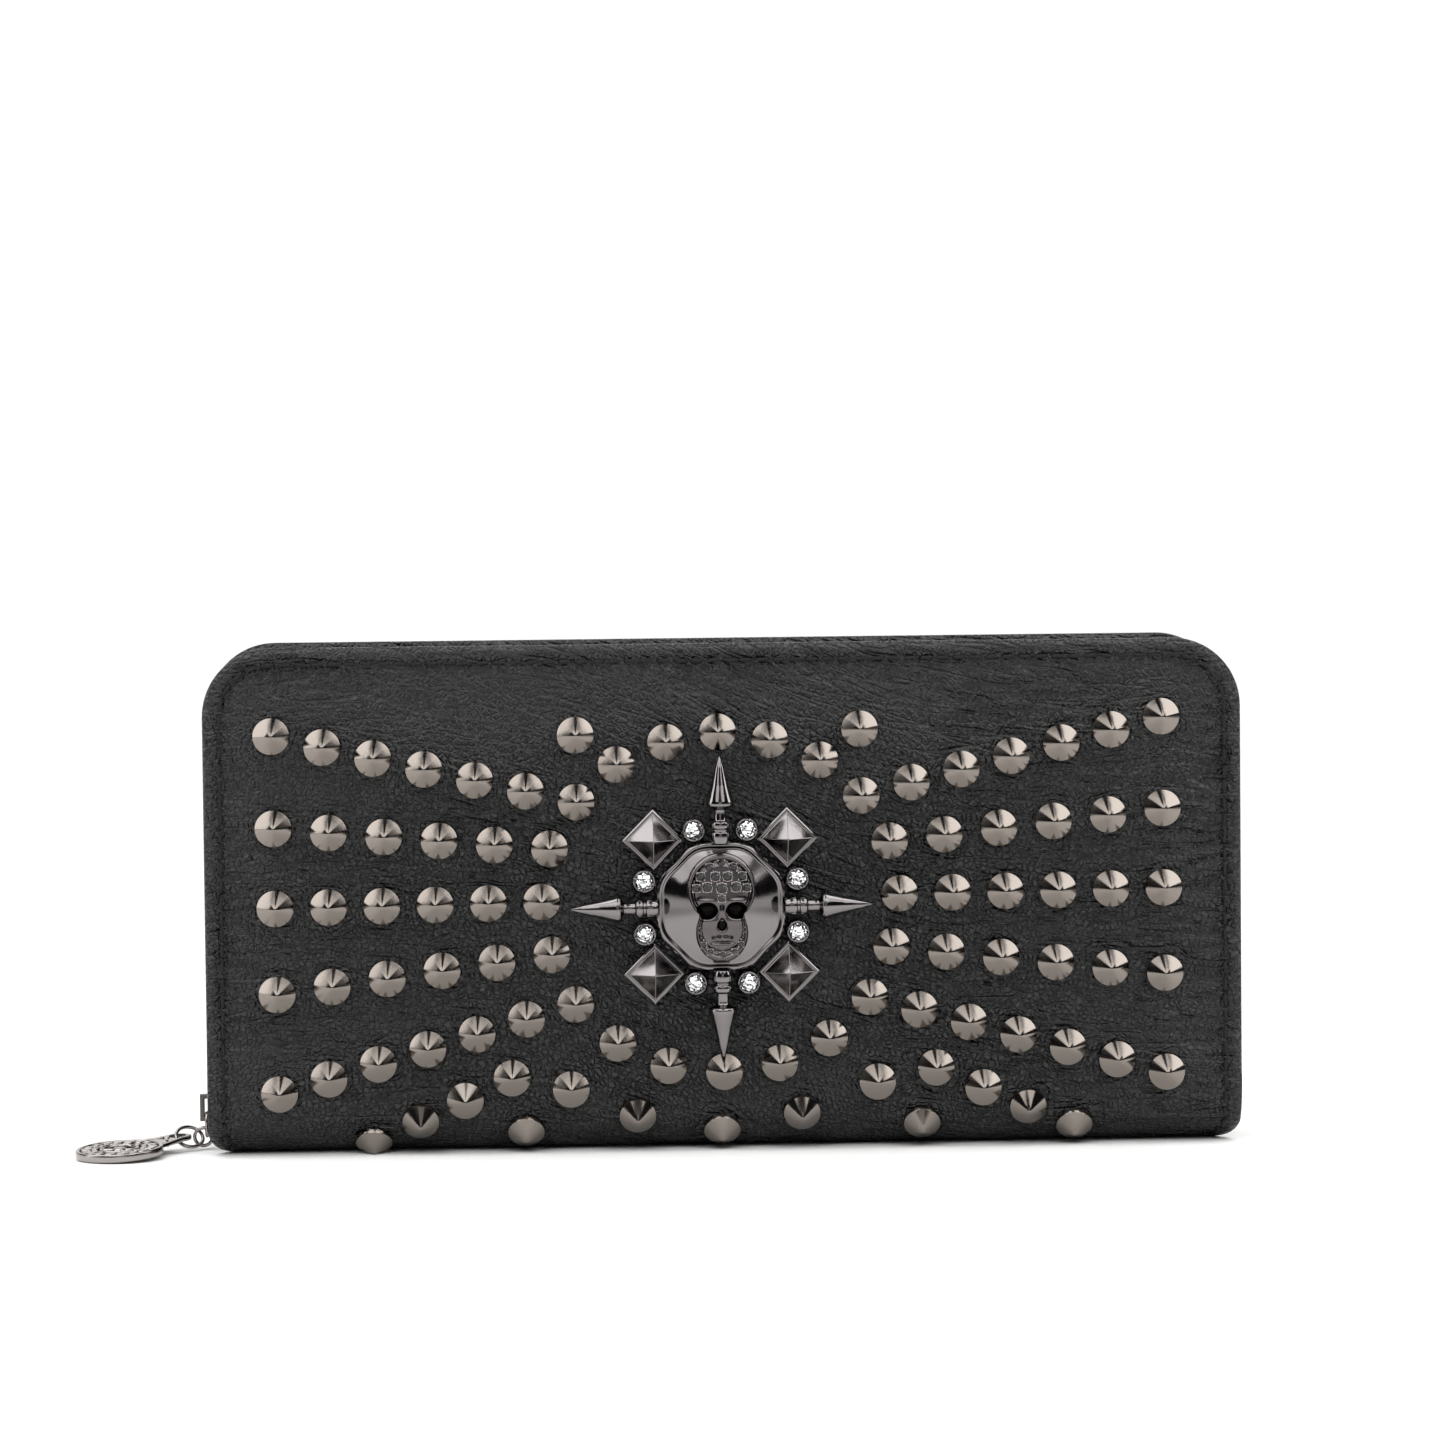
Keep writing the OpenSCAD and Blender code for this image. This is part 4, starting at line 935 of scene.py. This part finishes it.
# %% Copies of small metal parts
def softened(name, node_name, width, metal, body, slot):
    """The CAD node's mesh with flat faces joined and a bevel of that width, in millimetres."""
    mesh = nodes[node_name].data.copy()
    mesh.name = name
    mesh.materials.clear()
    bm = bmesh.new()
    bm.from_mesh(mesh)
    bmesh.ops.remove_doubles(bm, verts=bm.verts, dist=1e-6)
    bmesh.ops.dissolve_limit(bm, angle_limit=np.radians(2), verts=bm.verts, edges=bm.edges)
    bmesh.ops.recalc_face_normals(bm, faces=bm.faces)
    bm.to_mesh(mesh)
    bm.free()
    mesh.shade_smooth()
    mesh.set_sharp_from_angle(angle=np.radians(35))
    mesh.materials.append(metal)
    made = bpy.data.objects.new(name, mesh)
    bpy.context.scene.collection.objects.link(made)
    bevel = made.modifiers.new("soft_edge", "BEVEL")
    bevel.width, bevel.segments, bevel.limit_method = width * MM, 2, "ANGLE"
    bevel.angle_limit = np.radians(35)
    return belongs(made, body, slot, node_name)


softened("zip_slider_body", "slider_body", 0.22, teeth_metal, "zip_slider", "zip_metal")
softened("zip_slider_bridge", "slider_bridge", 0.18, teeth_metal, "zip_slider", "zip_metal")
softened("zip_stops", "zip_end_stops", 0.12, teeth_metal, "back_cover", "zip_metal")
softened("coin_zip_slider_body", "coin_slider", 0.12, pull_metal, "coin_zip_slider", "zip_metal")
softened("coin_zip_puller", "coin_pull", 0.12, pull_metal, "coin_zip_pull", "pull_metal")
softened("coin_zip_end_stops", "coin_zip_stops", 0.1, teeth_metal, "coin_divider", "zip_metal")

# %% [markdown]
# ## Zip pull
# The slider carries two small wire links and a ring, which are true tori already and only need
# their plating. From the ring hangs a cast disc that lies on the table: a mosaic of small tiles in
# two rings round an openwork middle, and a flat tab with a hole. The casting is dark in its
# recesses, where polishing never reached, and bright on top.

# %% Where the disc lies
cloud = points_mm("pull_disc")
middle = cloud.mean(0)
directions = np.linalg.eigh(np.cov((cloud - middle).T))[1]
disc_out = directions[:, 0] * np.sign(directions[2, 0])
disc_along = directions[:, 2]
link_mid = 0.5 * sum(box_mm("pull_ring"))
disc_along *= np.sign((middle - link_mid) @ disc_along)
disc_side = np.cross(disc_out, disc_along)
local = (cloud - middle) @ np.stack([disc_along, disc_side, disc_out], -1)
low, high = local.min(0), local.max(0)
disc_r, disc_t = 0.5 * (high[1] - low[1]), high[2] - low[2]
tab_r, hole_r, tab_t = 2.7, 1.6, 0.9
disc_mid = middle + disc_along * (high[0] - disc_r) + disc_out * 0.5 * (high[2] + low[2])
hole_x = low[0] + tab_r - (high[0] - disc_r)
disc_axes = np.stack([disc_along, disc_side, disc_out], -1)
print(f"disc: radius {disc_r:.1f}, {disc_t:.1f} thick, hole {-hole_x:.1f} from its middle")

# %% Disc
both = [np.diag([1.0, 1, 1]), np.diag([1.0, -1, -1])]
half = 0.5 * disc_t


def ring_of(profile, sides=72):
    """A closed profile of (radius, height) carried round a circle, as one ring of metal."""
    profile = np.asarray(profile, float)
    return turned(np.concatenate([profile, profile[:1]]), sides)


rim = ring_of(rounded([[disc_r, 0], [disc_r - 0.05, half - 0.15], [disc_r - 0.3, half],
                       [disc_r - 0.75, half - 0.05], [disc_r - 0.9, half - 0.5],
                       [disc_r - 0.9, 0.5 - half], [disc_r - 0.75, 0.05 - half],
                       [disc_r - 0.3, -half], [disc_r - 0.05, 0.15 - half], [disc_r, 0]], 0.15))
field = ring_of([[disc_r - 0.6, 0.2], [disc_r - 0.6, -0.2], [3.3, -0.2], [3.3, 0.2]])
band = ring_of(rounded([[3.75, 0], [3.75, 0.55], [3.55, 0.72], [3.3, 0.72], [3.1, 0.5], [3.1, -0.5],
                        [3.3, -0.72], [3.55, -0.72], [3.75, -0.55], [3.75, 0]], 0.12))
hub = turned([[0, -0.75], [0.9, -0.72], [1.35, -0.45], [1.5, 0], [1.35, 0.45], [0.9, 0.72],
              [0, 0.75]], 24)
spoke = swept(np.array([[1.2, 0, 0], [2.2, 0, 0.05], [3.4, 0, 0]]), [0.42, 0.30, 0.42],
              [0.5, 0.42, 0.5], 8)
spokes = around(spoke, np.arange(0, 360, 60), 0.0)


def squarish(t, power):
    """A rounded square: the sign of cos and of sin, times their size to a power below one."""
    round_point = spread(np.cos(t), np.sin(t))
    return np.sign(round_point) * np.abs(round_point) ** power


def tile(long, wide, top):
    """A low cushion: a rounded square ring narrowed twice, and a crowned middle."""
    t = np.linspace(0, 2 * np.pi, 17)[:-1]
    square = squarish(t, 0.45)
    size = np.array([1.0, 1.0, 0.90, 0.72, 0.35, 0.0])
    rise = np.array([0.0, 0.62, 0.9, 1.0, 1.05, 1.06]) * (top - 0.15) + 0.15
    points = np.concatenate([square[:, None] * size[:, None] * [0.5 * long, 0.5 * wide],
                             np.broadcast_to(rise[:, None], (16, 6, 1))], -1)
    return grid(points, wrap_u=True)


outer_tiles = around(tile(1.85, 1.7, half - 0.02), np.arange(10, 370, 20), disc_r - 2.0)
inner_tiles = around(tile(1.15, 1.6, half - 0.08), np.arange(0, 360, 30), 4.75)
tiles = join([outer_tiles, inner_tiles])
tiles = join([moved(tiles, axes=a) for a in both])

edge = np.radians(np.linspace(-110, 110, 19))
tab_line = np.concatenate([
    [[-disc_r + 0.9, 3.9], [hole_x + 3.2, tab_r + 0.5]],
    spread(hole_x - tab_r * np.cos(edge), -tab_r * np.sin(edge)),
    [[hole_x + 3.2, -tab_r - 0.5], [-disc_r + 0.9, -3.9]]])
hole_turn = np.unwrap(np.arctan2(tab_line[:, 1], tab_line[:, 0] - hole_x))
hole_line = spread(hole_x + hole_r * np.cos(hole_turn), hole_r * np.sin(hole_turn))
steps = [(0.0, -0.6), (0.0, 0.6), (0.10, 0.92), (0.28, 1.0), (0.80, 1.0), (0.94, 0.85), (1.0, 0.5),
         (1.0, -0.5), (0.94, -0.85), (0.80, -1.0), (0.28, -1.0), (0.10, -0.92)]
tab = np.stack([np.concatenate([tab_line + f * (hole_line - tab_line),
                                np.full((len(tab_line), 1), h * 0.5 * tab_t)], -1)
                for f, h in steps], 1)
tab = grid(np.concatenate([tab, tab[:1]]), wrap_v=True)
s = np.linspace(0, 1, 9)
scroll = [swept(spread(hole_x + 2.9 + 2.2 * s, k * (0.6 + 2.1 * s ** 1.5), 0.48),
                0.28, 0.22, 6) for k in (-1, 1)]
scroll = join([moved(join(scroll), axes=a) for a in both])

bright = join([rim, band, hub, spokes, tiles, tab, scroll])
disc = piece("pull_disc_relief", moved(bright, disc_mid, disc_axes), pull_metal, angle=50)
belongs(disc, "disc", "pull_metal", "pull_disc")
recess = piece("pull_disc_recess", moved(field, disc_mid, disc_axes), dark_cast)
belongs(recess, "disc", "pull_metal")

for name, metal in (("pull_link_1", pull_metal), ("pull_link_2", pull_metal),
                    ("pull_ring", pull_metal), ("medallion_posts", medallion_metal)):
    nodes[name].data.materials.clear()
    nodes[name].data.materials.append(metal)
    if metal is pull_metal:
        nodes[name].data.shade_smooth()
print("links, ring and posts: plated CAD shapes")

# %% [markdown]
# ## Zip
# A zip is two woven tapes, each with a corded edge, and rows of teeth clamped on that cord. The
# tapes are carried up the left side, round the corners, over the top and down the right side. A
# tooth is a small pressed bridge: wide where it grips the cord, narrow at its nose, so that the
# noses of one row sit between the noses of the other.

# %% The zip's line
tape_low, tape_high = box_mm("zip_tape_back")
tape_t = 0.6
zip_x, zip_top = tape_high[0] - 0.5 * tape_t, tape_high[2] - 0.5 * tape_t
zip_r = corner_r - (height - zip_top)
zip_z, tape_in, tape_out = tape_low[2], tape_low[1], tape_high[1]
side_run, bend_run, top_run = zip_top - zip_r - zip_z, zip_r * np.pi / 2, 2 * (zip_x - zip_r)
zip_run = 2 * side_run + 2 * bend_run + top_run


def zip_at(s):
    """x, z and the angle of travel after a length s from the lower left end."""
    s = np.asarray(s, float)
    mirror = s > zip_run / 2
    q = np.where(mirror, zip_run - s, s)
    a = np.clip((q - side_run) / zip_r, 0, np.pi / 2)
    x = -(zip_x - zip_r) - zip_r * np.cos(a) + np.clip(q - side_run - bend_run, 0, None)
    z = zip_z + np.minimum(q, side_run) + zip_r * np.sin(a)
    return np.where(mirror, -x, x), z, np.where(mirror, a - np.pi / 2, np.pi / 2 - a)


def on_zip(s, y, lift):
    """A place y across the zip and lifted away from its line: lift is along the outward normal."""
    x, z, a = zip_at(s)
    return spread(x - lift * np.sin(a), y, z + lift * np.cos(a))


print(f"zip: {zip_run:.0f} mm along its line")


# %% Tapes
def strip_profile(inner, outer, thick, cord_r):
    """Cross-section of a tape as (across, lift): a cord at the inner edge, then a flat band."""
    c = np.radians(np.linspace(50, 310, 9))
    cord = spread(inner + cord_r + cord_r * np.cos(c), cord_r * np.sin(c))
    band_y = np.linspace(inner + 2.2 * cord_r, outer - 0.1, 8)
    h = 0.5 * thick
    return np.concatenate([cord, spread(band_y, -h), [[outer, 0.0]], spread(band_y[::-1], h)])


def shut_ends(s):
    """One along a strip and nought at its two ends, where its section closes onto its middle."""
    squeeze = np.ones_like(s)
    squeeze[[0, -1]] = 0.0
    return squeeze


def tape(side, name):
    """The profile carried along the zip's line, closed at both ends onto its middle."""
    profile = strip_profile(tape_in, tape_out, 0.44, 0.34)
    s = np.concatenate([[0.0], np.linspace(0.02, side_run, 24), side_run
                        + np.linspace(0, bend_run, 19)[1:]])
    s = np.concatenate([s, np.linspace(side_run + bend_run, zip_run / 2, 40)[1:]])
    s = np.concatenate([s, zip_run - s[:-1][::-1]])[:, None]
    points = on_zip(s, side * profile[:, 0], profile[:, 1] * shut_ends(s))
    flow = spread(s, 0.0, profile[:, 0]).reshape(-1, 3)
    return piece(name, grid(points, wrap_v=True), tape_cloth, flow=flow)


for side, body, word in both_covers:
    made = tape(side, f"zip_tape_{word}_woven")
    belongs(made, body, "zip_tape", f"zip_tape_{word}")

# %% Teeth
t = np.linspace(0, 2 * np.pi, 9)[:-1]
stations = [(1.15, 0.30, 0.0), (1.15, 0.46, 0.62), (0.85, 0.50, 0.80), (0.25, 0.46, 0.74),
            (0.0, 0.34, 0.60), (-0.3, 0.44, 0.62), (-0.5, 0.36, 0.44), (-0.55, 0.0, 0.0)]
corner = squarish(t, 0.6)
tooth = grid(np.stack([spread(a * corner[:, 0], y, b * corner[:, 1])
                       for y, a, b in stations], 1), wrap_u=True)
tooth_pitch = 2.5
for side, body, word in both_covers:
    first = 0.9 if side > 0 else 2.15
    s = first + tooth_pitch * np.arange(int((zip_run - first - 3.0) / tooth_pitch) + 1)
    x, z, a = zip_at(s)
    c, n = np.cos(a), np.sin(a)
    axes = np.stack([spread(c, 0.0, n), spread(0 * c, side, 0.0), spread(-n, 0.0, c)], -1)
    made = piece(f"zip_teeth_{word}_row", copies(tooth, spread(x, 0.0, z), axes),
                 teeth_metal, angle=50)
    belongs(made, body, "zip_teeth", f"zip_teeth_{word}")

# %% Tape ends inside the spine
ends_low, ends_high = box_mm("zip_end_tapes")
tails, flows = [], []
for end in (-1, 1):
    for side in (-1, 1):
        z = np.concatenate([[ends_low[2]], np.linspace(ends_low[2] + 0.02, ends_high[2] - 0.02, 14),
                            [ends_high[2]]])[:, None]
        profile = strip_profile(tape_in, ends_high[1], 0.44, 0.34)
        lift = profile[:, 1] * shut_ends(z)
        tails.append(grid(spread(end * zip_x + lift, side * profile[:, 0], z), wrap_v=True))
        flows.append(spread(z, 0.0, profile[:, 0]).reshape(-1, 3))
tails = piece("zip_tape_tails", join(tails), tape_cloth, flow=np.concatenate(flows))
belongs(tails, "back_cover", "zip_tape", "zip_end_tapes")

# %% [markdown]
# ## Lining
# A twill lining is glued inside each cover. It follows the leather at a fixed depth, so it uses the
# same side view, and its edge closes the way the leather's rim does.

# %% Linings
lining_t = 0.5
roll_half = 0.5 * (box_mm("fold_lining")[1][0] - box_mm("fold_lining")[0][0])
lining_half = box_mm("back_lining")[1][0]
inset = half_w - lining_half


def lining(side, start):
    """Two sheets, lining_t apart, with a half-ellipse rim; narrower in the roll, and with the
    cover's round top corners moved in by the inset."""
    roll = np.linspace(0, roll_r * np.pi / 2, 17)
    top = roll_r * (np.pi / 2 - 1) + height
    r = corner_r - inset
    rows = np.concatenate([np.linspace(start, 0, 6)[:-1] if start < 0 else [], roll,
                           np.linspace(roll[-1], top - corner_r, 60)[1:],
                           top - corner_r + r * np.sin(np.linspace(0, np.pi / 2, 17))[1:]])
    y, z, ny, nz = (v[:, None] for v in outer_face(side, rows))
    bend = r - np.sqrt(np.clip(r ** 2 - np.clip(z - height + corner_r, 0, r) ** 2, 0, None))
    step = np.clip((z - roll_r) / 4, 0, 1)
    wide = roll_half + (lining_half - roll_half) * step * step * (3 - 2 * step) - bend
    x = np.linspace(-1, 1, 121)[None, :] * wide
    d = np.minimum(np.minimum(wide - np.abs(x), height - inset - z), rows[:, None] - start)
    h = 0.5 * lining_t * rim_rise(d, 0.8)
    puff = 0.10 * np.clip(d / 4, 0, 1) * waves(x, rows[:, None], 20, 46, 34, 7 + side)
    flow = spread(x, 0.0, rows[:, None]).reshape(-1, 3)
    middle = depth_out + 0.5 * lining_t
    faces = [grid(spread(x, y + ny * m, z + nz * m))
             for m in (middle - h, middle + h + np.clip(puff, 0, 0.15) * (z < 12))]
    return join(faces), np.concatenate([flow, flow])


shape, flow = lining(1, -flat_y)
back_lining = piece("back_twill_lining", shape, lining_cloth, flow=flow)
belongs(back_lining, "back_cover", "lining", "back_lining", "spine_lining")
shape, flow = lining(-1, 0.0)
front_lining = piece("front_twill_lining", shape, lining_cloth, flow=flow)
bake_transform(front_lining)
belongs(front_lining, None, "lining", "front_lining", "fold_lining")

# %% [markdown]
# ## Card pockets
# On each lining lies a panel with four rows of card pockets, each row stepped down from the last.
# A pocket is a flat double cloth with a turned hem along its mouth, stitched down below the hem.

# %% A flat cloth panel
def flat_cloth(side, x0, x1, z0, z1, outer, inner, hem=0.0, seed=0):
    """Two faces over a rectangle, closed at the rim by a half ellipse. The inner face rises by
    0.12 mm over the hem and is pressed in along the stitches below it."""
    x = x0 + (x1 - x0) * 0.5 * (1 - np.cos(np.linspace(0, np.pi, 49)))[:, None]
    z = z0 + (z1 - z0) * 0.5 * (1 - np.cos(np.linspace(0, np.pi, 41)))[None, :]
    d = np.minimum(np.minimum(x - x0, x1 - x), np.minimum(z - z0, z1 - z))
    half = 0.5 * (inner - outer)
    h = half * rim_rise(d, 0.6)
    mouth = z1 - z
    rise = (0.12 * np.clip((hem - mouth) / 0.6 + 1, 0, 1) * np.clip(mouth / 0.3, 0, 1)
            - 0.12 * np.exp(-((mouth - hem - 0.5) / 0.35) ** 2)) * (hem > 0)
    wave = 0.05 * waves(x, z, 14, 30, 22, seed) * np.clip(d / 5, 0, 1)
    sheets = [side * (half_t - (outer + half - h)),
              side * (half_t - (outer + half + h + rise + np.clip(wave, -0.05, 0.08)))]
    flow = spread(x, 0.0, z).reshape(-1, 3)
    return join([grid(spread(x, y, z)) for y in sheets]), np.concatenate([flow, flow])


def stitch_row(side, x0, x1, z, depth, pitch=2.6):
    """Stitches a pitch apart along a level line, on the inner side of a cover."""
    stitch = one_stitch(1.05, 0.17, 0.13, 0.08, 0.25, 5, 5)
    x = np.arange(x0 + pitch, x1 - pitch / 2, pitch)
    axes = np.tile(np.array([[1.0, 0, 0], [0, 0, -side], [0, side * 1.0, 0]]), (len(x), 1, 1))
    return copies(stitch, spread(x, side * (half_t - depth), z), axes)


for side, body, word in both_covers:
    low, high = box_mm(f"{word}_card_panel")
    face = sorted(half_t - abs(v) for v in (low[1], high[1]))
    shape, flow = flat_cloth(side, low[0], high[0], low[2], high[2], face[0], face[1], 2.5, 30)
    made = piece(f"{word}_card_panel_cloth", shape, pocket_cloth, flow=flow)
    belongs(made, body, "pocket_cloth", f"{word}_card_panel")
    rows = []
    for n in (1, 2, 3, 4):
        name = f"{word}_card_pocket_{n}"
        low, high = box_mm(name)
        face = sorted(half_t - abs(v) for v in (low[1], high[1]))
        halves = [flat_cloth(side, *span, low[2], high[2], face[0], face[1], 3.0, 31 + 5 * n + i)
                  for i, span in enumerate(((low[0], -1.0), (1.0, high[0])))]
        made = piece(name + "_cloth", join([v[0] for v in halves]), pocket_cloth,
                     flow=np.concatenate([v[1] for v in halves]))
        belongs(made, body, "pocket_cloth", name)
        rows += [stitch_row(side, a, b, high[2] - 3.5, face[1] - 0.04)
                 for a, b in ((low[0], -1.0), (1.0, high[0]))]
    rows = join(rows)
    threads = piece(f"{word}_pocket_stitching", rows, thread, tidy=False, flow=rows[0])
    belongs(threads, body, "pocket_cloth")

# %% [markdown]
# ## Coin pocket
# Between the covers stands a flat pouch that divides the wallet. It is one cloth folded up at its
# bottom and sewn shut at both ends, so its section is a U that pinches together towards each end,
# and a small zip closes its mouth.

# %% Pouch
pouch_low, pouch_high = box_mm("coin_pocket")
pouch_r, wall_t, pinch = pouch_high[1], 0.8, 2.6
pouch_mid, pouch_top, pouch_half = pouch_low[2] + pouch_r, pouch_high[2], pouch_high[0]


def pouch():
    """The U carried along X: outer wall down, round and up, a round lip, inner wall back. Near an
    end both depths shrink as a half ellipse does."""
    end = 1 - np.cos(np.linspace(0, np.pi / 2, 9))
    full = pouch_half - pinch
    x = np.concatenate([-pouch_half + pinch * end, np.linspace(-full, full, 90)[1:-1],
                        pouch_half - pinch * end[::-1]])
    d = pouch_half - np.abs(x)
    k = rim_rise(d, pinch)[:, None]
    up = np.linspace(pouch_top - 0.4, pouch_mid, 34)
    a = np.linspace(0, np.pi, 17)[1:-1]
    lip = np.linspace(0, np.pi, 6)[1:-1]

    def wall(r):
        """Section line of one surface, from the front mouth round to the back mouth."""
        bottom = spread(-r * np.cos(a), pouch_mid - r * np.sin(a))
        return np.concatenate([spread(-r, up), bottom, spread(r, up[::-1])])
    outer, inner = wall(pouch_r), wall(pouch_r - wall_t)
    m, h = pouch_r - 0.5 * wall_t, 0.5 * wall_t
    back_lip, front_lip = (spread(at + h * np.cos(lip), pouch_top - 0.4 + h * np.sin(lip))
                           for at in (m, -m))
    loop = np.concatenate([outer, back_lip, inner[::-1], front_lip])
    sag = 0.10 * np.clip(waves(x[:, None], loop[None, :, 1], 20, 40, 30, 61), -1, 0.6) * np.clip(
        d / 8, 0, 1)[:, None] * (loop[:, 1] < pouch_top - 3)
    y = loop[:, 0] * k + np.sign(loop[:, 0]) * sag * 0.6
    flow = spread(x[:, None], 0.0, loop[:, 1] * np.sign(loop[:, 0]))
    return grid(spread(x[:, None], y, loop[:, 1]), wrap_v=True), flow.reshape(-1, 3)


shape, flow = pouch()
coin_pouch = piece("coin_pocket_pouch", shape, pocket_cloth, flow=flow)
belongs(coin_pouch, "coin_divider", "pocket_cloth", "coin_pocket")

# %% Coin zip
tapes_low, tapes_high = box_mm("coin_zip_tapes")
coin_z = 0.5 * (tapes_low[2] + tapes_high[2])
profile = strip_profile(0.9, tapes_high[1], 0.34, 0.25)
x = np.concatenate([[tapes_low[0]], np.linspace(tapes_low[0] + 0.02, tapes_high[0] - 0.02, 60),
                    [tapes_high[0]]])[:, None]
lift = profile[:, 1] * shut_ends(x)
coin_tapes = join([grid(spread(x, s * profile[:, 0], coin_z + lift), wrap_v=True)
                   for s in (-1, 1)])
flow = coin_tapes[0][:, [0, 2, 1]] * [1, 0, 1]
belongs(piece("coin_zip_tape_pair", coin_tapes, tape_cloth, flow=flow),
        "coin_divider", "zip_tape", "coin_zip_tapes")
print("coin zip tapes:", round(float(tapes_high[0] - tapes_low[0]), 1), "mm long")

teeth_low, teeth_high = box_mm("coin_zip_teeth")
first = teeth_low[0] + 0.4
coin_pitch = 2.0
count = int(round((teeth_high[0] - 0.4 - 0.5 * coin_pitch - first) / coin_pitch)) + 1
small = (tooth[0] * [0.8, 0.73, 0.75], tooth[1])
rows = []
for side in (-1, 1):
    x = first + coin_pitch * (np.arange(count) + (0.5 if side > 0 else 0.0))
    axes = np.tile(np.diag([1.0, side, 1.0]), (count, 1, 1))
    rows.append(copies(small, spread(x, 0.0, coin_z), axes))
belongs(piece("coin_zip_teeth_rows", join(rows), teeth_metal, angle=50),
        "coin_divider", "zip_teeth", "coin_zip_teeth")

# %% [markdown]
# ## Gussets
# Soft cloth gussets join the covers to the coin pocket at both ends and keep coins and cards from
# falling out. Each is one strip folded in four pleats, so it is a zigzag line with rounded folds,
# given a thickness and drawn upwards.

# %% Pleated gussets
def gusset(side, end, low, high):
    """Offsets each side of the rounded zigzag, closed at both ends and at both rims."""
    y0, y1 = sorted(abs(v) for v in (low[1], high[1]))
    x_out, x_in = max(abs(low[0]), abs(high[0])), min(abs(low[0]), abs(high[0]))
    step = (y1 - y0 - 0.4) / 4
    zigzag = np.array([[x_out if i % 2 == 0 else x_in, y0 + 0.2 + i * step] for i in range(5)])
    line = rounded(zigzag, 2.2, 7)
    s = np.concatenate([[0], np.cumsum(np.linalg.norm(np.diff(line, axis=0), axis=1))])
    even = np.linspace(0, s[-1], 72)
    line = spread(np.interp(even, s, line[:, 0]), np.interp(even, s, line[:, 1]))
    ahead = unit(np.gradient(line, axis=0))
    normal = spread(-ahead[:, 1], ahead[:, 0])
    z = np.concatenate([[low[2]], np.linspace(low[2] + 0.2, high[2] - 0.2, 24), [high[2]]])
    d = np.minimum(np.minimum(even, even[-1] - even)[:, None],
                   np.minimum(z - low[2], high[2] - z)[None, :])
    h = 0.16 * rim_rise(d, 0.3)
    sheets = []
    for k in (-1, 1):
        p = line[:, None] + k * h[..., None] * normal[:, None]
        sheets.append(grid(spread(end * p[..., 0], side * p[..., 1], z)))
    flow = spread(even[:, None], 0.0, z).reshape(-1, 3)
    return join(sheets), np.concatenate([flow, flow]), even[-1]


for word, side in (("front", -1), ("back", 1)):
    for hand, end in (("left", -1), ("right", 1)):
        name = f"gusset_{word}_{hand}"
        low, high = box_mm(name)
        shape, flow, strip = gusset(side, end, low, high)
        made = piece(name + "_pleats", shape, gusset_cloth, flow=flow)
        if side < 0:
            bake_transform(made)
        else:
            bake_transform(made)
        belongs(made, None, "gusset_cloth", name)
print("gussets: four strips of", round(float(strip), 1), "mm in four pleats")

# %% [markdown]
# ## Studio
# A white floor that curves up behind, and two soft boxes that lean over the wallet from the left
# and the right. They nearly meet overhead: the dark gap between them is what draws the thin dark
# line up each polished cone, and the floor gives the cones their even lower halves. Two panels and
# a card in front fill the leather, one light whitens the backdrop and one the floor in front.

# %% Floor
bend_r, floor_back, wall = 0.5, 1.3, 2.0
a = np.linspace(0, np.pi / 2, 17)
curve = spread(floor_back + bend_r * np.sin(a), bend_r * (1 - np.cos(a)))
profile = np.concatenate([[[-2.5, 0.0]], curve, [[floor_back + bend_r, wall]]])
xs = np.linspace(-2.6, 2.6, 3)
sweep = spread(xs[:, None], profile[:, 0], profile[:, 1])
paper, *_ = material("white_paper_floor", Base_Color=linear("#f7f7f6"), Roughness=0.7,
                               Specular_IOR_Level=0.2)
floor = piece("floor", (sweep.reshape(-1, 3) / MM, grid(sweep)[1]), paper, tidy=False)


# %% Lights
def softbox(name, at, towards, width, length, watts):
    """A white rectangular area light at a point, facing another, its length level along Y."""
    light = bpy.data.lights.new(name, "AREA")
    light.shape, light.size, light.size_y = "RECTANGLE", width, length
    light.energy = watts
    made = bpy.data.objects.new(name, light)
    back = unit(np.array(at, float) - np.array(towards, float))
    side = unit(np.cross([0, 1, 0], back))
    matrix = np.eye(4)
    matrix[:3, 0], matrix[:3, 1], matrix[:3, 2] = side, np.cross(back, side), back
    matrix[:3, 3] = at
    made.matrix_world = Matrix(matrix.tolist())
    bpy.context.scene.collection.objects.link(made)


softbox("left_softbox", (-0.3875, -0.06, 0.365), (-0.0525, -0.06, 0.0525), 0.916, 0.20, 2.0)
softbox("right_softbox", (0.3375, -0.06, 0.42), (-0.0275, -0.06, 0.078), 0.768, 0.20, 1.8)
for side in (-1, 1):
    softbox(f"front_panel_{side + 1}", (0.26 * side, -0.50, 0.56), (0.0, -0.30, 0.12),
            0.48, 0.56, 1.7)
softbox("front_card", (0.0, -1.75, 0.42), (0.0, 0.0, 0.12), 0.85, 0.8, 1.2)
softbox("backdrop_light", (0.0, 0.6, 1.6), (0.0, 1.5, 0.45), 2.8, 1.0, 37)
softbox("front_floor_light", (0.0, -1.2, 1.5), (0.0, -0.7, 0.0), 2.2, 0.9, 5)
world = bpy.data.worlds.new("dim_room")
world.use_nodes = True
background = world.node_tree.nodes["Background"].inputs
background["Color"].default_value = linear("#2c2c2e")
background["Strength"].default_value = 0.6
bpy.context.scene.world = world
bpy.context.scene.view_settings.view_transform = "Standard"
print("seven soft lights")
